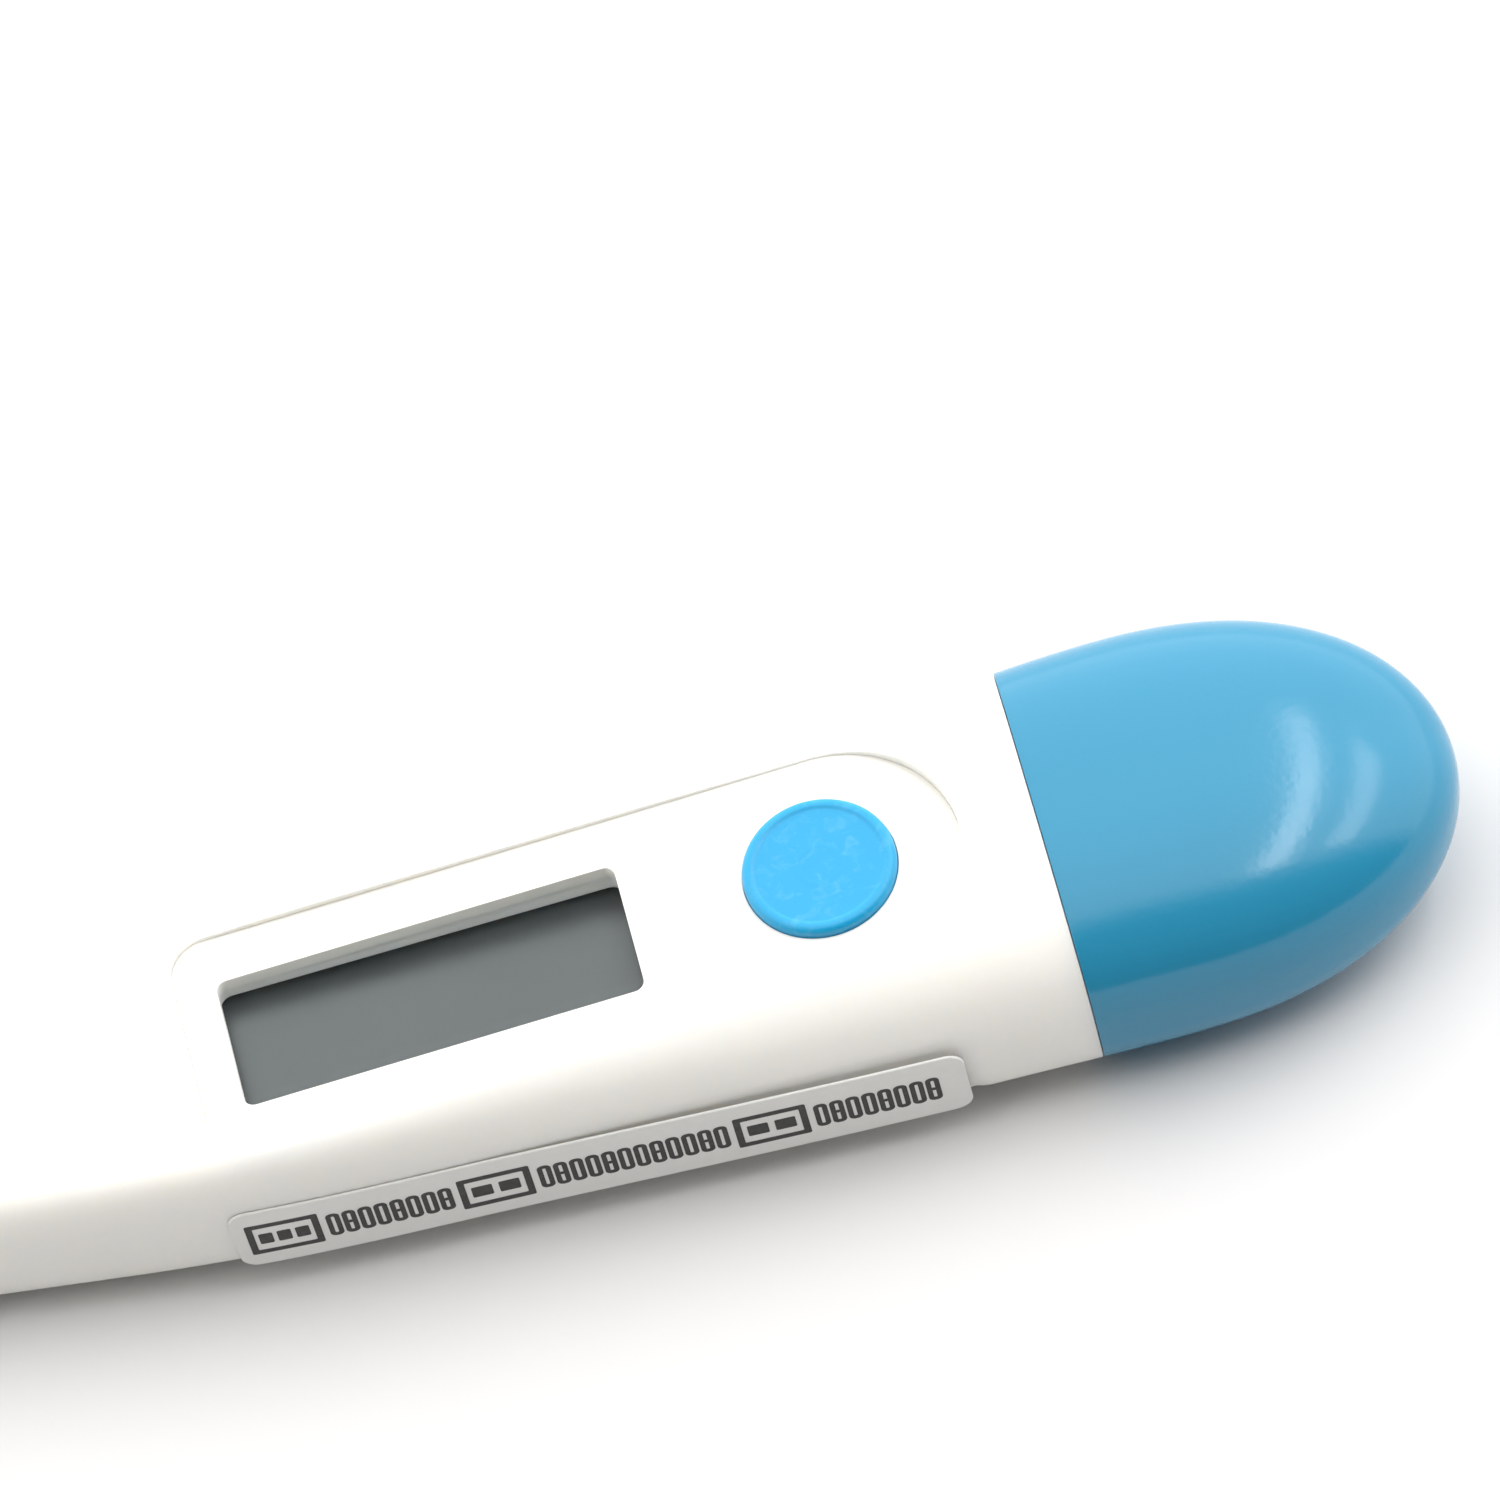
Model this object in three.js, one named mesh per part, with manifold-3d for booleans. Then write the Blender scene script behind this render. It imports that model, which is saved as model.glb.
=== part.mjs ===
// Pen-type digital thermometer, in millimetres. +Z is up, +X points to the battery cap, and the origin is
// under the middle of the length, on the surface that the thermometer lies on.
import * as THREE from "three";
import { mergeVertices } from "three/addons/utils/BufferGeometryUtils.js";
import Module from "manifold-3d";

const wasm = await Module();
wasm.setup();

// Overall length, and where the pieces meet along it
const overallLength = 127.8;
const capEnd = overallLength / 2;
const tipEnd = -overallLength / 2;
const capLength = 18.6;
const seamX = capEnd - capLength;
const seamGap = 0.1;
const steelLength = 10.9;
const stemEnd = tipEnd + steelLength + seamGap;
const noseEnd = stemEnd - 5;

// Sections of the case: superellipses, given at stations along X and joined smoothly
const stations = [
  { x: stemEnd, half: 2.4, crown: 5.8, middle: 3.75, low: 1.7, power: 2.1 },
  { x: -40, half: 2.55, crown: 6.2, middle: 3.8, low: 1.45, power: 2.3 },
  { x: -25, half: 2.95, crown: 6.95, middle: 3.85, low: 0.95, power: 2.6 },
  { x: -15, half: 3.5, crown: 7.75, middle: 3.95, low: 0.55, power: 3.2 },
  { x: -6.5, half: 4.5, crown: 8.65, middle: 4.1, low: 0.15, power: 4.4 },
  { x: 7, half: 6.65, crown: 9.8, middle: 4.35, low: -0.25, power: 6.5 },
  { x: 20.5, half: 7.65, crown: 10.35, middle: 4.55, low: -0.25, power: 4.2 },
  { x: 33.5, half: 8.55, crown: 10.7, middle: 4.8, low: -0.25, power: 3 },
  { x: seamX, half: 9.2, crown: 10.9, middle: 5.05, low: -0.25, power: 2.6 },
];
const lowerPower = 2.6;
const sides = 32;

// Walls and clearances
const wall = 1.15;
const floorZ = 1.15;
const deckUnderside = 8.2;
const rimUnderside = 7.9;
const neckInset = 1.5;
const neckBore = 2.4;
const neckLength = 4;
const capWall = 1.2;
const stemAxisZ = 3.75;
const channelRadius = 0.9;
const noseRadius = 1.5;

// Panel let into the top of the case, on a plane that rises towards the cap
const displayX = 17.9;
const panelZ = 9.6;
const panelTilt = Math.atan(0.02);
const panelLeft = 7;
const panelHalfWidth = 5.6;
const panelCorner = 1.7;
const panelEndX = 36.45;
const panelThickness = 0.75;
const panelSeat = 0.05;
const panelGap = 0.1;

// Display opening and the stack under it
const openingLength = 18.2;
const openingWidth = 6.55;
const openingCorner = 0.5;
const windowTop = 7.85;
const polariserTop = 7.48;
const glassTop = 7.32;
const glassSheet = 0.55;
const boardTop = 4.7;
const boardThickness = 0.8;

// Button and its switch
const buttonX = 35.7;
const buttonRadius = 3.35;
const buttonProud = 0.5;
const buttonGap = 0.12;
const flangeRadius = 4.1;

// Button cell and its tray
const cellX = 53.2;
const cellRadius = 3.95;
const cellBottom = 3.8;
const cellHeight = 3.6;

// Side label
const labelStart = 6.6;
const labelEnd = 39.4;
const labelLow = 2.2;
const labelHigh = 6.6;

const finishes = {
  whiteAbs: new THREE.MeshStandardMaterial({ color: 0xf2f1ec, roughness: 0.35, metalness: 0 }),
  blueAbs: new THREE.MeshStandardMaterial({ color: 0x2f9fce, roughness: 0.3, metalness: 0 }),
  blueButton: new THREE.MeshStandardMaterial({ color: 0x2fb0f0, roughness: 0.4, metalness: 0 }),
  clearAcrylic: new THREE.MeshStandardMaterial({ color: 0xffffff, roughness: 0.05, metalness: 0 }),
  displayGlass: new THREE.MeshStandardMaterial({ color: 0x7c8488, roughness: 0.1, metalness: 0 }),
  polariserFilm: new THREE.MeshStandardMaterial({ color: 0x4a4e53, roughness: 0.2, metalness: 0 }),
  foil: new THREE.MeshStandardMaterial({ color: 0xb9bdb8, roughness: 0.3, metalness: 0.8 }),
  silicone: new THREE.MeshStandardMaterial({ color: 0x2c5a52, roughness: 0.6, metalness: 0 }),
  carbonRubber: new THREE.MeshStandardMaterial({ color: 0x24262a, roughness: 0.8, metalness: 0 }),
  greyAbs: new THREE.MeshStandardMaterial({ color: 0xcfd0cc, roughness: 0.5, metalness: 0 }),
  fibreBoard: new THREE.MeshStandardMaterial({ color: 0x1f6b3a, roughness: 0.5, metalness: 0 }),
  blackEpoxy: new THREE.MeshStandardMaterial({ color: 0x141416, roughness: 0.35, metalness: 0 }),
  steel: new THREE.MeshStandardMaterial({ color: 0xc9ccce, roughness: 0.2, metalness: 1 }),
  nickel: new THREE.MeshStandardMaterial({ color: 0xbfc0bb, roughness: 0.3, metalness: 1 }),
  brass: new THREE.MeshStandardMaterial({ color: 0xc9a24b, roughness: 0.3, metalness: 1 }),
  ceramic: new THREE.MeshStandardMaterial({ color: 0xd8d2c2, roughness: 0.6, metalness: 0 }),
  enamelledWire: new THREE.MeshStandardMaterial({ color: 0xa5562a, roughness: 0.4, metalness: 0.6 }),
  paper: new THREE.MeshStandardMaterial({ color: 0xdadbd8, roughness: 0.6, metalness: 0 }),
};

// A closed three.js geometry as a solid, and back again
function toSolid(geometry) {
  const bare = geometry.clone();
  bare.deleteAttribute("normal");
  bare.deleteAttribute("uv");
  const merged = mergeVertices(bare, 1e-4);
  const vertProperties = new Float32Array(merged.attributes.position.array);
  const triVerts = new Uint32Array(merged.index.array);
  return new wasm.Manifold(new wasm.Mesh({ numProp: 3, vertProperties, triVerts }));
}

function toGeometry(solid) {
  const mesh = solid.getMesh();
  const geometry = new THREE.BufferGeometry();
  geometry.setAttribute("position", new THREE.BufferAttribute(new Float32Array(mesh.vertProperties), 3));
  geometry.setIndex(new THREE.BufferAttribute(new Uint32Array(mesh.triVerts), 1));
  geometry.computeVertexNormals();
  return geometry;
}

// Smooth value of one measure of the case at x, with slopes taken across the neighbouring stations
function measureAt(name, x) {
  let i = 0;
  while (i < stations.length - 2 && x > stations[i + 1].x) i += 1;
  const slopeAt = (j) => {
    const before = stations[Math.max(j - 1, 0)];
    const after = stations[Math.min(j + 1, stations.length - 1)];
    return (after[name] - before[name]) / (after.x - before.x);
  };
  const span = stations[i + 1].x - stations[i].x;
  const t = Math.min(Math.max((x - stations[i].x) / span, 0), 1);
  const rise = t * t * (3 - 2 * t);
  const lead = slopeAt(i) * span * t * (1 - t) * (1 - t);
  const trail = slopeAt(i + 1) * span * t * t * (t - 1);
  return stations[i][name] * (1 - rise) + stations[i + 1][name] * rise + lead + trail;
}

function caseSection(x) {
  return {
    x,
    half: measureAt("half", x),
    crown: measureAt("crown", x),
    middle: measureAt("middle", x),
    low: measureAt("low", x),
    power: measureAt("power", x),
  };
}

// Section of the cap: widens a little behind the seam, then closes in a round nose
function capSection(x) {
  const seam = caseSection(seamX);
  const u = Math.min(Math.max((x - seamX) / capLength, 0), 0.9995);
  const widestAt = 0.27;
  const widest = 9.35;
  const beyond = Math.max((u - widestAt) / (1 - widestAt), 0);
  const swell = Math.sin((Math.PI / 2) * Math.min(u / widestAt, 1));
  const half = (seam.half + (widest - seam.half) * swell) * Math.sqrt(1 - beyond ** 2.2);
  const height = (1 - u ** 2.65) ** (1 / 2.1);
  return {
    x,
    half,
    crown: seam.middle + (seam.crown + 0.15 * swell - seam.middle) * height,
    middle: seam.middle,
    low: seam.middle + (seam.low - seam.middle) * height,
    power: seam.power,
  };
}

// Points round a section, drawn in by inset and cut off flat below bottom
function ringOf(section, inset = 0, bottom = 0, top = Infinity) {
  const half = section.half - inset;
  const ring = [];
  for (let i = 0; i < sides; i += 1) {
    const turn = (i / sides) * Math.PI * 2;
    const c = Math.cos(turn);
    const s = Math.sin(turn);
    const power = s >= 0 ? section.power : lowerPower;
    const reach = s >= 0 ? section.crown - inset - section.middle : section.middle - section.low - inset;
    const y = half * Math.sign(c) * Math.abs(c) ** (2 / power);
    const z = section.middle + reach * Math.sign(s) * Math.abs(s) ** (2 / power);
    ring.push(new THREE.Vector3(section.x, y, Math.min(Math.max(z, bottom), top)));
  }
  return ring;
}

// Closed solid through a row of rings that all have the same number of points
function loft(rings) {
  const count = rings[0].length;
  const points = rings.flat();
  const index = [];
  for (let k = 0; k < rings.length - 1; k += 1) {
    for (let i = 0; i < count; i += 1) {
      const a = k * count + i;
      const b = k * count + ((i + 1) % count);
      index.push(a, b, a + count, b, b + count, a + count);
    }
  }
  const middleOf = (ring) => ring.reduce((sum, p) => sum.add(p), new THREE.Vector3()).divideScalar(count);
  const first = points.push(middleOf(rings[0])) - 1;
  const last = points.push(middleOf(rings[rings.length - 1])) - 1;
  const lastRing = (rings.length - 1) * count;
  for (let i = 0; i < count; i += 1) {
    const next = (i + 1) % count;
    index.push(first, next, i);
    index.push(last, lastRing + i, lastRing + next);
  }
  const geometry = new THREE.BufferGeometry().setFromPoints(points);
  geometry.setIndex(index);
  return geometry;
}

function spread(from, to, steps, ease = (t) => t) {
  return Array.from({ length: steps + 1 }, (_, i) => from + (to - from) * ease(i / steps));
}

function roundedRectangle(x0, x1, y0, y1, radius) {
  const shape = new THREE.Shape();
  const quarter = Math.PI / 2;
  shape.absarc(x1 - radius, y0 + radius, radius, -quarter, 0);
  shape.absarc(x1 - radius, y1 - radius, radius, 0, quarter);
  shape.absarc(x0 + radius, y1 - radius, radius, quarter, 2 * quarter);
  shape.absarc(x0 + radius, y0 + radius, radius, 2 * quarter, 3 * quarter);
  return shape;
}

function circle(x, y, radius) {
  return new THREE.Shape().absarc(x, y, radius, 0, Math.PI * 2);
}

function plate(shape, bottom, top, curveSegments = 8) {
  const depth = top - bottom;
  const geometry = new THREE.ExtrudeGeometry(shape, { depth, bevelEnabled: false, curveSegments });
  return geometry.translate(0, 0, bottom);
}

function box(x0, x1, y0, y1, z0, z1) {
  const geometry = new THREE.BoxGeometry(x1 - x0, y1 - y0, z1 - z0);
  return geometry.translate((x0 + x1) / 2, (y0 + y1) / 2, (z0 + z1) / 2);
}

// Turned piece standing on +Z: profile points are [radius, z] from the bottom of the axis to its top
function turned(profile, segments = 24) {
  const points = profile.map(([radius, z]) => new THREE.Vector2(radius, z));
  return new THREE.LatheGeometry(points, segments).rotateX(Math.PI / 2);
}

// Bent metal strip: a line of [x, z] points given thickness, then width along Y
function strip(line, thickness, width) {
  const points = line.map(([x, z]) => new THREE.Vector2(x, z));
  const normals = points.map((p, i) => {
    const before = points[Math.max(i - 1, 0)];
    const after = points[Math.min(i + 1, points.length - 1)];
    return new THREE.Vector2(before.y - after.y, after.x - before.x).normalize();
  });
  const side = (sign) => points.map((p, i) => p.clone().addScaledVector(normals[i], (sign * thickness) / 2));
  const shape = new THREE.Shape([...side(-1), ...side(1).reverse()]);
  const geometry = new THREE.ExtrudeGeometry(shape, { depth: width, bevelEnabled: false });
  return geometry.rotateX(Math.PI / 2).translate(0, width / 2, 0);
}

// Half width of the case at height z
function sideAt(x, z) {
  const section = caseSection(x);
  const power = z > section.middle ? section.power : lowerPower;
  const reach = z > section.middle ? section.crown - section.middle : section.middle - section.low;
  return section.half * (1 - Math.abs((z - section.middle) / reach) ** power) ** (1 / power);
}

// Upright slab along the near wall, between two distances out from the line that widthAt gives
function sideSlab(x0, x1, z0, z1, inner, outer, widthAt) {
  const rings = spread(x0, x1, 10).map((x) => {
    const heights = spread(z0, z1, 4);
    const at = (z, out) => new THREE.Vector3(x, -(widthAt(x, z) + out), z);
    return [...heights.map((z) => at(z, inner)), ...heights.reverse().map((z) => at(z, outer))];
  });
  return loft(rings);
}

// Prism along Y with a rounded outline in X and Z, to round the corners of a side slab
function sidePrism(x0, x1, z0, z1, radius) {
  const depth = 20;
  const shape = roundedRectangle(x0, x1, z0, z1, radius);
  const geometry = new THREE.ExtrudeGeometry(shape, { depth, bevelEnabled: false, curveSegments: 5 });
  return geometry.rotateX(Math.PI / 2);
}

function panelOutline(grow) {
  const half = panelHalfWidth + grow;
  const left = panelLeft - grow - displayX;
  const corner = panelCorner + grow;
  const endX = panelEndX - displayX;
  const quarter = Math.PI / 2;
  const shape = new THREE.Shape();
  shape.absarc(endX, 0, half, -quarter, quarter);
  shape.absarc(left + corner, half - corner, corner, quarter, 2 * quarter);
  shape.absarc(left + corner, corner - half, corner, 2 * quarter, 3 * quarter);
  return shape;
}

function openingOutline(grow) {
  const x = openingLength / 2 + grow;
  const y = openingWidth / 2 + grow;
  return roundedRectangle(-x, x, -y, y, openingCorner);
}

// From the panel's own plane to the thermometer's frame
function ontoPanel(geometry) {
  return geometry.rotateY(-panelTilt).translate(displayX, 0, panelZ);
}

function mainCase() {
  const stationsX = [...spread(stemEnd, -14, 6), ...spread(-9, seamX, 14)];
  const outer = loft(stationsX.map((x) => ringOf(caseSection(x))));
  const nose = new THREE.CylinderGeometry(noseRadius, noseRadius, stemEnd + 1 - noseEnd, 20)
    .rotateZ(Math.PI / 2)
    .translate((stemEnd + 1 + noseEnd) / 2, 0, stemAxisZ);
  const seam = caseSection(seamX);
  const neckAt = (x, inset) => ringOf({ ...seam, x }, inset);
  const neck = loft([seamX - 1, seamX + neckLength].map((x) => neckAt(x, neckInset)));
  const grooveX = seamX + 1.6;
  const groove = toSolid(loft([grooveX, grooveX + 0.8].map((x) => neckAt(x, 1.2))))
    .subtract(toSolid(loft([grooveX - 1, grooveX + 2].map((x) => neckAt(x, neckInset + 0.5)))));

  const hollow = spread(-8, seamX - 0.5, 9).map((x) => ringOf(caseSection(x), wall, floorZ, deckUnderside));
  const bore = [seamX - 1.5, seamX + neckLength + 1].map((x) => neckAt(x, neckBore));
  const channelLength = -6 - noseEnd + 2;
  const channel = new THREE.CylinderGeometry(channelRadius, channelRadius, channelLength, 12)
    .rotateZ(Math.PI / 2)
    .translate(noseEnd - 1 + channelLength / 2, 0, stemAxisZ);
  const displayBay = box(7.3, 29, -4.5, 4.5, boardTop, rimUnderside);
  const displayRim = box(7.1, 29.2, -4.7, 4.7, rimUnderside, deckUnderside + 0.1);
  const pocketDepth = panelThickness + panelSeat;
  const above = 4;
  const through = 3;
  const pocket = ontoPanel(plate(panelOutline(panelGap), -pocketDepth, above, 8));
  const opening = ontoPanel(plate(openingOutline(0.05), -through, 0, 4));
  const buttonCircle = circle(buttonX - displayX, 0, buttonRadius + buttonGap);
  const buttonHole = ontoPanel(plate(buttonCircle, -through, 0, 10));
  const recessMargin = 0.55;
  const recessDepth = 0.2;
  const recess = toSolid(sideSlab(labelStart - 2, labelEnd + 2, 1, 7.4, -recessDepth, 3, sideAt)).intersect(
    toSolid(
      sidePrism(
        labelStart - recessMargin,
        labelEnd + recessMargin,
        labelLow - recessMargin,
        labelHigh + recessMargin,
        0.9,
      ),
    ),
  );

  const ribs = [box(11.6, 12.4, -4, 4, 0.6, 3.8), box(37.2, 38, -5, 5, 0.6, 3.8)];
  const seat = plate(circle(24, 0, 4.7), 0.6, 2.25, 6);
  const seatHole = plate(circle(24, 0, 3.9), 0, 3, 6);

  let body = toSolid(outer).add(toSolid(nose)).add(toSolid(neck));
  for (const cut of [loft(hollow), loft(bore), channel]) body = body.subtract(toSolid(cut));
  body = body.add(toSolid(displayRim));
  for (const cut of [displayBay, pocket, opening, buttonHole]) body = body.subtract(toSolid(cut));
  body = body.subtract(groove).subtract(recess);
  body = body.add(toSolid(seat).subtract(toSolid(seatHole)));
  for (const rib of ribs) body = body.add(toSolid(rib));
  return toGeometry(body);
}

function facePanel() {
  const shape = panelOutline(0);
  shape.holes.push(openingOutline(0), circle(buttonX - displayX, 0, buttonRadius + buttonGap));
  return plate(shape, -panelThickness, 0, 10);
}

// Button in the panel's plane: dished head, flange that stops under the deck, and a plunger
function powerButton() {
  const flangeTop = -1.95;
  const flangeBottom = -2.5;
  const plungerEnd = -4.55;
  const rim = 0.35;
  const head = spread(0, Math.PI / 2, 4).map((turn) => [
    buttonRadius - rim + rim * Math.cos(turn),
    buttonProud - rim + rim * Math.sin(turn),
  ]);
  const dishShare = 0.85;
  const dishDepth = 0.14;
  const dish = spread(dishShare, 0, 4).map((part) => [
    buttonRadius * part,
    buttonProud - dishDepth * (1 - (part / dishShare) ** 2),
  ]);
  return turned([
    [0, plungerEnd],
    [1.2, plungerEnd],
    [1.2, flangeBottom],
    [flangeRadius, flangeBottom],
    [flangeRadius, flangeTop],
    [buttonRadius, flangeTop],
    ...head,
    ...dish.slice(1),
  ]);
}

function buttonGasket() {
  const shape = circle(buttonX, 0, 5);
  shape.holes.push(circle(buttonX, 0, 4.35));
  return plate(shape, 7.2, 8.1, 8);
}

// Thin dome with its rim on the board
function snapDome() {
  const height = 0.5;
  const skin = 0.12;
  const rimRadius = 2.4;
  const arch = (radius, top) =>
    spread(0, 1, 4).map((t) => [radius * Math.cos((t * Math.PI) / 2), top * Math.sin((t * Math.PI) / 2)]);
  const outside = arch(rimRadius, height);
  const inside = arch(rimRadius - skin, height - skin).reverse();
  outside[outside.length - 1][0] = 0;
  inside[0][0] = 0;
  return turned([...inside, ...outside], 16).translate(buttonX, 0, boardTop + 0.05);
}

function batteryCap() {
  const ease = (t) => Math.sin((t * Math.PI) / 2);
  const outsideX = spread(seamX + seamGap, capEnd, 12, ease);
  const outside = loft(outsideX.map((x) => ringOf({ ...capSection(x), x })));
  const insideEnd = capEnd - 1.5;
  const insideX = spread(seamX, insideEnd, 7, ease);
  const inside = loft([
    ringOf({ ...capSection(seamX), x: seamX - 1 }, capWall, 0.9),
    ...insideX.map((x) => ringOf(capSection(x), capWall, 0.9)),
  ]);
  return toGeometry(toSolid(outside).subtract(toSolid(inside)));
}

// Seal in the neck's groove: a small circle carried round the neck's outline
function capSealRing() {
  const seam = caseSection(seamX);
  const x = seamX + 2;
  const outline = ringOf({ ...seam, x }, neckInset + 0.12);
  const radius = 0.3;
  const around = 6;
  const points = [];
  const index = [];
  outline.forEach((p, i) => {
    const before = outline[(i + sides - 1) % sides];
    const after = outline[(i + 1) % sides];
    const outward = new THREE.Vector3(0, after.z - before.z, before.y - after.y).normalize();
    for (let j = 0; j < around; j += 1) {
      const turn = (j / around) * Math.PI * 2;
      const point = p.clone().addScaledVector(outward, radius * Math.cos(turn));
      point.x += radius * Math.sin(turn);
      points.push(point);
      const a = i * around + j;
      const b = i * around + ((j + 1) % around);
      const c = ((i + 1) % sides) * around + j;
      const d = ((i + 1) % sides) * around + ((j + 1) % around);
      index.push(a, c, b, b, c, d);
    }
  });
  const geometry = new THREE.BufferGeometry().setFromPoints(points);
  geometry.setIndex(index);
  return geometry;
}

// Drawn steel cap over the nose of the stem, round end towards -X
function probeTip() {
  const outerRadius = 1.95;
  const skin = 0.2;
  const innerRadius = outerRadius - skin;
  const dome = (radius) =>
    spread(0, 1, 6).map((t) => [
      radius * Math.sin((t * Math.PI) / 2),
      outerRadius - radius * Math.cos((t * Math.PI) / 2),
    ]);
  const openEnd = [
    [outerRadius, steelLength],
    [innerRadius, steelLength],
  ];
  const profile = [...dome(outerRadius), ...openEnd, ...dome(innerRadius).reverse()];
  return turned(profile, 20).rotateY(Math.PI / 2).translate(tipEnd, 0, stemAxisZ);
}

function thermistorBead() {
  return new THREE.SphereGeometry(0.6, 12, 8).scale(1.5, 1, 1).translate(tipEnd + 1.35, 0, stemAxisZ);
}

// Lead from the bead through the stem to the front of the board; side is 1 or -1
function thermistorLead(side) {
  const path = new THREE.CatmullRomCurve3([
    new THREE.Vector3(tipEnd + 2.45, side * 0.35, stemAxisZ),
    new THREE.Vector3(-45, side * 0.35, stemAxisZ),
    new THREE.Vector3(-25, side * 0.35, stemAxisZ),
    new THREE.Vector3(-7, side * 0.35, stemAxisZ),
    new THREE.Vector3(-2, side * 0.7, 4.3),
    new THREE.Vector3(3, side * 1.2, boardTop + 0.35),
    new THREE.Vector3(6.6, side * 1.2, boardTop + 0.22),
  ]);
  const wire = new THREE.Shape().absarc(0, 0, 0.14, 0, Math.PI * 2);
  return new THREE.ExtrudeGeometry(wire, { steps: 26, curveSegments: 3, extrudePath: path });
}

function tipAdhesive() {
  const shape = circle(0, 0, 1.6);
  for (const side of [-1, 1]) shape.holes.push(circle(0, side * 0.35, 0.26));
  return plate(shape, 0, 2, 6).rotateY(Math.PI / 2).translate(tipEnd + 3.5, 0, stemAxisZ);
}

// Label: a flat strip that touches the wall along its widest line and stands off where the wall turns under
function sideLabel() {
  const widthAt = (x) => measureAt("half", x);
  const slab = sideSlab(labelStart, labelEnd, labelLow, labelHigh, 0.02, 0.14, widthAt);
  const rounded = sidePrism(labelStart, labelEnd, labelLow, labelHigh, 0.8);
  return toGeometry(toSolid(slab).intersect(toSolid(rounded)));
}

function lcdGlass() {
  const front = toSolid(box(8.2, 28, -4.1, 4.1, glassTop - glassSheet, glassTop));
  const back = toSolid(box(8.2, 28, -2.7, 4.1, glassTop - 2 * glassSheet, glassTop - glassSheet + 0.03));
  return toGeometry(front.add(back));
}

function lcdFrame() {
  const shape = roundedRectangle(7.6, 28.7, -4.4, 4.4, 0.4);
  shape.holes.push(roundedRectangle(8.05, 28.15, -4.16, 4.16, 0.1));
  return plate(shape, boardTop + 0.05, glassTop - 0.02, 2);
}

function displayWindow() {
  return plate(roundedRectangle(8, 28.2, -4.2, 4.2, 0.4), windowTop - 0.3, windowTop, 3);
}

function zebraConnector() {
  return box(8.6, 27.6, -4, -2.9, boardTop + 0.05, glassTop - glassSheet - 0.04);
}

function circuitBoard() {
  const frontHalf = 4.7;
  const rearHalf = 6;
  const shape = new THREE.Shape();
  shape.moveTo(4, -3.3);
  shape.lineTo(9, -frontHalf);
  shape.lineTo(27, -frontHalf);
  shape.lineTo(30, -rearHalf);
  shape.lineTo(44.6, -rearHalf);
  shape.lineTo(44.6, rearHalf);
  shape.lineTo(30, rearHalf);
  shape.lineTo(27, frontHalf);
  shape.lineTo(9, frontHalf);
  shape.lineTo(4, 3.3);
  return plate(shape, boardTop - boardThickness, boardTop);
}

function chipEncapsulant() {
  const radius = 2.6;
  const rise = 1.05;
  const dome = spread(0, 1, 4).map((t) => [
    radius * Math.cos((t * Math.PI) / 2) ** 0.8,
    rise * Math.sin((t * Math.PI) / 2),
  ]);
  dome[dome.length - 1][0] = 0;
  return turned([[0, 0], ...dome], 24).translate(17, 0.5, boardTop + 0.05);
}

// Battery cell with its larger can upwards and the smaller negative cap downwards
function batteryCell() {
  const top = cellBottom + cellHeight;
  return turned([
    [0, cellBottom],
    [3.1, cellBottom],
    [3.3, cellBottom + 0.15],
    [3.3, cellBottom + 0.35],
    [3.75, cellBottom + 0.35],
    [cellRadius, cellBottom + 0.6],
    [cellRadius, top - 0.25],
    [cellRadius - 0.25, top],
    [0, top],
  ]).translate(cellX, 0, 0);
}

function batteryTray() {
  const trayFloor = 3.1;
  const trayFloorTop = 3.5;
  const wallTop = 6.9;
  const outerRadius = 5;
  const pocketRadius = 4.15;
  const tongue = toSolid(box(38.6, cellX, -3.9, 3.9, trayFloor, trayFloorTop));
  const cup = toSolid(plate(circle(cellX, 0, outerRadius), trayFloor, wallTop, 12));
  const pocket = toSolid(plate(circle(cellX, 0, pocketRadius), trayFloorTop, wallTop + 1, 12));
  const contactSlot = toSolid(box(45, cellX - 2.4, -2.4, 2.4, trayFloorTop, wallTop + 1));
  const pushNotch = toSolid(box(cellX + 3, cellX + 6, -1.7, 1.7, 5, wallTop + 1));
  return toGeometry(cup.subtract(pocket).subtract(contactSlot).subtract(pushNotch).add(tongue));
}

function positiveContact() {
  return strip([[41.4, 4.83], [46.3, 4.83], [47.6, 7.56], [53.6, 7.56], [54.2, 7.85]], 0.16, 3);
}

function negativeContact() {
  return strip([[40.6, 3.66], [54.6, 3.66]], 0.14, 2.4);
}

function buzzerContact(line) {
  return strip(line, 0.12, 1.2);
}

const thermometer = new THREE.Group();
const onPanel = new THREE.Group();
onPanel.position.set(displayX, 0, panelZ);
onPanel.rotation.y = -panelTilt;
thermometer.add(onPanel);

function addPiece(name, geometry, material, parent = thermometer) {
  const mesh = new THREE.Mesh(geometry, material);
  mesh.name = name;
  parent.add(mesh);
  return mesh;
}

addPiece("main_case", mainCase(), finishes.whiteAbs);
addPiece("face_panel", facePanel(), finishes.whiteAbs, onPanel);
addPiece("power_button", powerButton(), finishes.blueButton, onPanel).position.x = buttonX - displayX;
addPiece("button_gasket", buttonGasket(), finishes.silicone);
addPiece("snap_dome", snapDome(), finishes.steel);
addPiece("battery_cap", batteryCap(), finishes.blueAbs);
addPiece("cap_seal_ring", capSealRing(), finishes.silicone);
addPiece("side_label", sideLabel(), finishes.paper);

addPiece("probe_tip", probeTip(), finishes.steel);
addPiece("thermistor_bead", thermistorBead(), finishes.blackEpoxy);
addPiece("thermistor_lead_1", thermistorLead(1), finishes.enamelledWire);
addPiece("thermistor_lead_2", thermistorLead(-1), finishes.enamelledWire);
addPiece("tip_adhesive", tipAdhesive(), finishes.blackEpoxy);

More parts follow.
